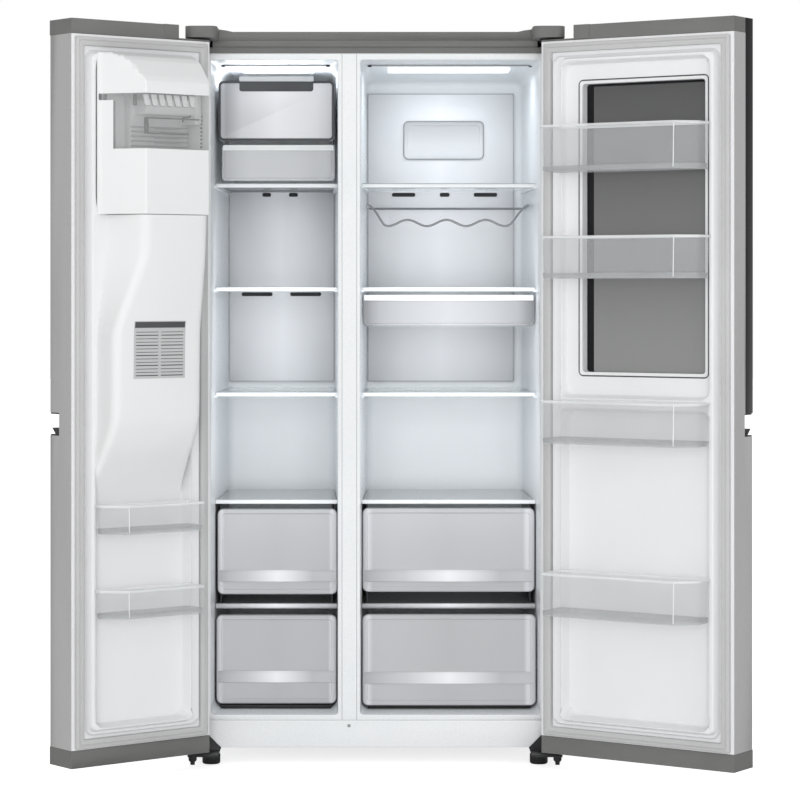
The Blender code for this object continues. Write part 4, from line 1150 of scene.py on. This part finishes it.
def build_ice_system(door):
    """Ice maker, and the cups, ribs, slots and clip seen through its cover's window."""
    width = door.width
    keep("freezer_door_ice_maker", "ice_back", 0.001)
    keep("freezer_door_ice_arm", "dark_wire", 0.0006)
    build_ice_cover(door)

    bm = bmesh.new()
    add_block(bm, (0.092, width - 0.0600), (0.0240, 0.0275), (1.380, 1.660), 0.002)
    door.make("ice_maker_backing", bm, "ice_back", "white_plastic")
    # The second row is a darker grey outline just behind each cup: painted shade in the gaps
    # between the cups.
    for name, z, grow, v, edge, look, slot in (
            ("ice_tray_cups", (1.5850, 1.6110), 0.0, (0.101, 0.104), 0.0008, "white",
             "white_plastic"),
            ("ice_tray_gap_shade", (1.5835, 1.6118), 0.0012, (0.1002, 0.1010), 0.0, "divider",
             "grey_plastic")):
        bm = bmesh.new()
        for k in range(7):
            add_slab(bm, cup_outline(0.112 + 0.0215 * k, z, grow), "y", *v, edge)
        door.make(name, bm, look, slot)
    bm = bmesh.new()
    for z in (1.4920, 1.5030, 1.5140, 1.5250, 1.5360):
        add_block(bm, (0.104, 0.262), (0.0530, 0.0600), (z, z + 0.0030), 0.0008)
    for z in (1.5000, 1.5110, 1.5220, 1.5330):
        add_block(bm, (0.130, 0.200), (0.0600, 0.0640), (z, z + 0.0020), 0.0006)
    door.make("ice_tank_ribs", bm, "divider", "grey_plastic")
    # Each slot is a dark block: painted shade inside the opening.
    bm = bmesh.new()
    for k in range(9):
        z = 1.4900 + 0.0090 * k
        add_block(bm, (0.0935, 0.0975), (0.1000, 0.1040), (z, z + 0.0045), 0.0008)
    door.make("ice_tank_slot_shade", bm, "dark_gap", "black_plastic")
    bm = bmesh.new()
    for u in ((width - 0.078, width - 0.069), (width - 0.064, width - 0.0565)):
        add_block(bm, u, (0.0285, 0.0315), (ICE_BAND_Z + 0.0015, ICE_WINDOW_Z[1] - 0.001), 0.001)
    add_block(bm, (0.266, 0.274), (0.080, 0.086), (1.585, 1.611), 0.001)
    door.make("ice_maker_switch", bm, "dark_gap", "black_plastic")
    bm = bmesh.new()
    add_tube(bm, [(0.130, 0.1075, 1.5645), (0.137, 0.1075, 1.5610), (0.150, 0.1070, 1.5600),
                  (0.152, 0.1065, 1.5480)], 0.0020)
    door.make("ice_wire_clip", bm, "black", "black_plastic", body="ice_arm")


def build_label(door):
    """Blank guide on the chute: a grey sheet with ruled lines and no lettering."""
    u, z = (0.139, 0.283), (0.950, 1.084)

    def sheet(bm, across_u, up_z, lift):
        lines_z = np.linspace(*up_z, max(2, int((up_z[1] - up_z[0]) / 0.012) + 1))
        rise_v = chute_sections(lines_z)[:, 3]
        height = np.repeat(rise_v[:, None], 2, 1) + lift
        add_moulded_sheet(bm, np.array(across_u), lines_z, height, height - 0.0008)

    bm = bmesh.new()
    sheet(bm, u, z, 0.0005)
    door.make("guide_label", bm, "label", "white_paint")
    bm = bmesh.new()
    sheet(bm, drawn_in(u, 0.002), (z[1] - 0.016, z[1] - 0.002), 0.0007)
    middle = sum(u) / 2
    for column in ((u[0] + 0.006, middle - 0.004), (middle + 0.004, u[1] - 0.006)):
        for k in range(14):
            low = z[0] + 0.006 + 0.0078 * k
            sheet(bm, column, (low, low + 0.0014 + 0.0008 * (k % 3 == 0)), 0.0007)
    door.make("guide_label_rules", bm, "dark_gap", "grey_plastic")


def build_fridge_door():
    """Right door: moulded liner round a window, the glazed unit behind it and four bins."""
    door = FRIDGE_DOOR
    width = door.width
    build_door_common(door)
    keep("fridge_door_glass_unit", "black_glass", 0.0015, 3)
    window_u, window_z = (0.110, width - 0.066), (0.955, 1.652)
    pans = (((0.140, 0.870), PAN_FLOOR), ((0.905, 1.695), WINDOW_PANEL))
    build_door_liner(door, pans, window_u, window_z)
    build_window(door, window_u, window_z)
    for name in ("bin_top", "bin_upper", "bin_middle", "bin_lower"):
        build_bin(door, name, *FRIDGE_BIN)


def build_window(door, window_u, window_z):
    """The window's inner side: thin dark seal, white reveal and the tinted pane at its end."""
    pane_front = -0.0185

    def outline(inset, radius):
        return rounded(drawn_in(window_u, inset), drawn_in(window_z, inset), radius)

    bm = bmesh.new()
    add_frame(bm, outline(-0.0042, 0.013), outline(-0.0012, 0.011), 0.0030, 0.0048)
    door.make("window_seal", bm, "dark_gap", "black_plastic")
    bm = bmesh.new()
    rings = []
    for inset, v in ((-0.0010, 0.0036), (-0.0008, 0.0050), (0.0050, 0.0050), (0.0062, 0.0042),
                     (0.0062, pane_front + 0.0003), (0.0047, pane_front + 0.0003),
                     (0.0047, 0.0036)):
        rings.append([(a, v, b) for a, b in outline(inset, 0.008)])
    add_loft(bm, rings, cyclic=True)
    door.make("window_reveal", bm, "white", "white_plastic")
    bm = bmesh.new()
    pane = rounded((window_u[0] + 0.0250, window_u[1] - 0.0065),
                   (window_z[0] + 0.0065, window_z[1] - 0.0120), 0.003)
    add_slab(bm, pane, "y", pane_front - 0.0002, pane_front + 0.0002)
    door.make("window_pane", bm, "tinted", "black_glass")


# ---------------------------------------------------------------- stage

AMBIENT = 0.57             # strength of the white surround on the object; seen directly it is 1


def seen_directly(tree, lighting, view, socket):
    """Feeds a socket one value for what a surface lights and another for what the view sees."""
    path = tree.nodes.new("ShaderNodeLightPath")
    value = tree.nodes.new("ShaderNodeMapRange")
    value.inputs["To Min"].default_value = lighting
    value.inputs["To Max"].default_value = view
    tree.links.new(path.outputs["Is Camera Ray"], value.inputs["Value"])
    tree.links.new(value.outputs["Result"], socket)


def build_stage():
    """Pale floor and a near-white surround."""
    bm = bmesh.new()
    bmesh.ops.create_grid(bm, x_segments=1, y_segments=1, size=30)
    mesh = bpy.data.meshes.new("floor")
    bm.to_mesh(mesh)
    bm.free()
    floor = bpy.data.objects.new("floor", mesh)
    bpy.context.scene.collection.objects.link(floor)
    look = Look("floor_white", (0.88, 0.88, 0.88), 0.9)
    look.shader.inputs["Emission Color"].default_value = (1, 1, 1, 1)
    seen_directly(look.tree, 0.0, 0.75, look.shader.inputs["Emission Strength"])
    look.bump(look.noise(3), 0.0001)
    floor.data.materials.append(look.material)

    world = bpy.data.worlds.new("studio")
    world.use_nodes = True
    tree = world.node_tree
    background = tree.nodes["Background"]
    background.inputs["Color"].default_value = (1, 1, 1, 1)
    seen_directly(tree, AMBIENT, 1.0, background.inputs["Strength"])
    bpy.context.scene.world = world
    bpy.context.scene.view_settings.view_transform = "Standard"


def add_light(name, place, target, size, power, colour=(1, 1, 1), mirrored=True):
    """A rectangular soft light in cabinet coordinates, facing a target."""
    lamp = bpy.data.lights.new(name, "AREA")
    lamp.shape = "RECTANGLE"
    lamp.size, lamp.size_y = size
    lamp.energy = power
    lamp.color = colour
    item = bpy.data.objects.new(name, lamp)
    item.location = CABINET @ Vector(place)
    aim = (CABINET @ Vector(target)) - item.location
    item.rotation_euler = aim.to_track_quat("-Z", "Y").to_euler()
    item.visible_camera = False
    item.visible_glossy = mirrored
    bpy.context.scene.collection.objects.link(item)


def build_lights():
    """Studio lights, and the glow of each compartment and its lamp."""
    add_light("front", (0, -7.2, 1.3), (0, 0.2, 0.9), (3.0, 2.4), 185, mirrored=False)
    add_light("key", (-1.5, -5.0, 3.4), (0, 0.2, 1.0), (3.0, 2.0), 30)
    add_light("fill", (2.5, -4.5, 1.6), (0, 0.2, 0.9), (2.0, 3.0), 15)
    for name, sides in ROOMS.items():
        middle, span = sum(sides) / 2, sides[1] - sides[0]
        add_light(f"{name}_room_light", (middle, 0.03, 1.00), (middle, 0.5, 0.94),
                  (span * 0.85, 0.66), 0.75 * span / 0.4, (0.95, 0.975, 1.0), False)
        add_light(f"{name}_lamp_light", (middle, 0.22, 1.700), (middle, 0.24, 0.5),
                  (span * 0.8, 0.12), 0.6, (0.94, 0.97, 1.0))


VIEW_FROM = (0.0, -6.96, 1.156)
FOCAL_LENGTH = 128.6       # in mm, on the sensor's width
SENSOR_WIDTH = 36.0
VIEW_SHIFT = (0.0312, -0.1375)


def build_camera():
    """The photograph's viewpoint: level, square on, from about seven metres."""
    data = bpy.data.cameras.new("camera")
    data.sensor_width = SENSOR_WIDTH
    data.lens = FOCAL_LENGTH
    data.shift_x, data.shift_y = VIEW_SHIFT
    camera = bpy.data.objects.new("camera", data)
    camera.location = CABINET @ Vector(VIEW_FROM)
    camera.rotation_euler = (math.radians(90), 0, 0)
    bpy.context.scene.collection.objects.link(camera)
    bpy.context.scene.camera = camera


# Greys across each part, from one side to the other, that paint light on it: highlights near both
# sides of a drawer front, a reflection peaking along the middle of a grip band or divider trim,
# sheen brightest down the middle of a duct, the ice compartment's front and the utility box's
# front, and a darker stripe near the left end of the ice compartment's front.
DRAWER_FRONT_HIGHLIGHTS = ((0.0, 0.52), (0.035, 0.74), (0.06, 0.55), (0.5, 0.50), (0.93, 0.54),
                (0.955, 0.76), (1.0, 0.55))
GRIP_BAND_REFLECTION = ((0.0, 0.47), (0.25, 0.62), (0.5, 0.92), (0.62, 0.80), (0.8, 0.55), (1.0, 0.62))
DUCT_PANEL_SHEEN = ((0.0, 0.66), (0.25, 0.80), (0.5, 0.90), (0.75, 0.80), (1.0, 0.66))
DIVIDER_TRIM_HIGHLIGHT = ((0.0, 0.50), (0.2, 0.62), (0.5, 0.97), (0.8, 0.62), (1.0, 0.50))
SATIN_FRONT_SHEEN = ((0.0, 0.66), (0.07, 0.44), (0.2, 0.66), (0.5, 0.80), (0.85, 0.72), (1.0, 0.60))
UTILITY_FRONT_SHEEN = ((0.0, 0.30), (0.1, 0.44), (0.5, 0.54), (0.9, 0.44), (1.0, 0.28))


def add_part_looks():
    """Finishes laid out across one part, each a painted gradient of light: drawer fronts with
    painted highlights, grip bands with a painted reflection and the like.
    """
    rows = []
    for node in DRAWERS:
        rows.append((f"{node}_front", node, f"{node}_front", DRAWER_FRONT_HIGHLIGHTS, 0.22, 0.0))
        rows.append((f"{node}_band", node, f"{node}_band", GRIP_BAND_REFLECTION, 0.40, 0.0))
    for name in ROOMS:
        rows.append((f"{name}_air_duct", f"{name}_air_duct", f"{name}_duct", DUCT_PANEL_SHEEN, 0.36,
                     0.15))
        rows.append((f"{name}_divider", f"{name}_drawer_frame", f"{name}_divider", DIVIDER_TRIM_HIGHLIGHT,
                     0.25, 0.2))
    rows.append(("satin", "ice_compartment", "satin_front", SATIN_FRONT_SHEEN, 0.35, 0.1))
    rows.append(("utility_front", "utility_box", "utility_front", UTILITY_FRONT_SHEEN, 0.25, 0.0, 0.70))
    for key, node, finish, stops, *rest in rows:
        low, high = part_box(node)
        LOOKS[key] = across(finish, stops, (low.x, high.x), *rest)
    # The filter cover darkens towards its top: painted shade.
    LOOKS["filter"] = across("filter_cover_painted_shade", ((0.0, 0.74), (0.35, 0.72), (1.0, 0.52)),
                             (1.5, 1.6), 0.35, 0.0, axis=2)
    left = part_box("utility_box")[0].x
    # The ice bin's front is brightest a third of the way across: a painted highlight.
    LOOKS["bin_front"] = across("ice_bin_front", ((0.0, 0.70), (0.3, 0.92), (1.0, 0.74)),
                                (left - 0.4, left), 0.2, 0.0, alpha=0.45)
    # The window's tinted pane is lighter at its bottom and darker at its top: a painted
    # reflection.
    tinted = Look("tinted_pane_painted_reflection", (0.2, 0.2, 0.2), 0.08)
    separate = tinted.node("ShaderNodeSeparateXYZ")
    tinted.link(tinted.object_position((1, 1, 1 / 0.7), (0, 0, -0.955 / 0.7)),
                separate.inputs["Vector"])
    shade = tinted.ramp(separate.outputs[2], ((0.0, 0.27), (1.0, 0.085)))
    tinted.link(shade, tinted.shader.inputs["Base Color"])
    tinted.bump(tinted.noise(6), 0.00001)
    LOOKS["tinted"] = tinted.material


def main():
    """Builds every piece, then the stage round the object."""
    build_camera()
    add_part_looks()
    build_case()
    build_back()
    for name, sides in ROOMS.items():
        build_liner(name, sides)
        build_shelf_rails(name, sides)
        for level, top, node in shelf_levels(name):
            build_shelf(name, sides, level, top, node)
        build_duct(name)
        build_drawer_frame(name, sides)
    build_ceiling_lamps("freezer", (-0.376, -0.117), (-0.335, -0.155))
    build_ceiling_lamps("fridge", (-0.013, 0.386), (0.033, 0.338))
    build_filter()
    build_wine_rack()
    build_ice_compartment()
    for node, row in DRAWERS.items():
        build_drawer(node, *row)
    build_open_box("utility_box", 0.012, "utility_front")
    build_open_box("ice_bin", 0.008, "bin_front")
    keep("humidity_slider", "white", 0.0005)
    build_freezer_door()
    build_fridge_door()
    build_stage()
    build_lights()


main()
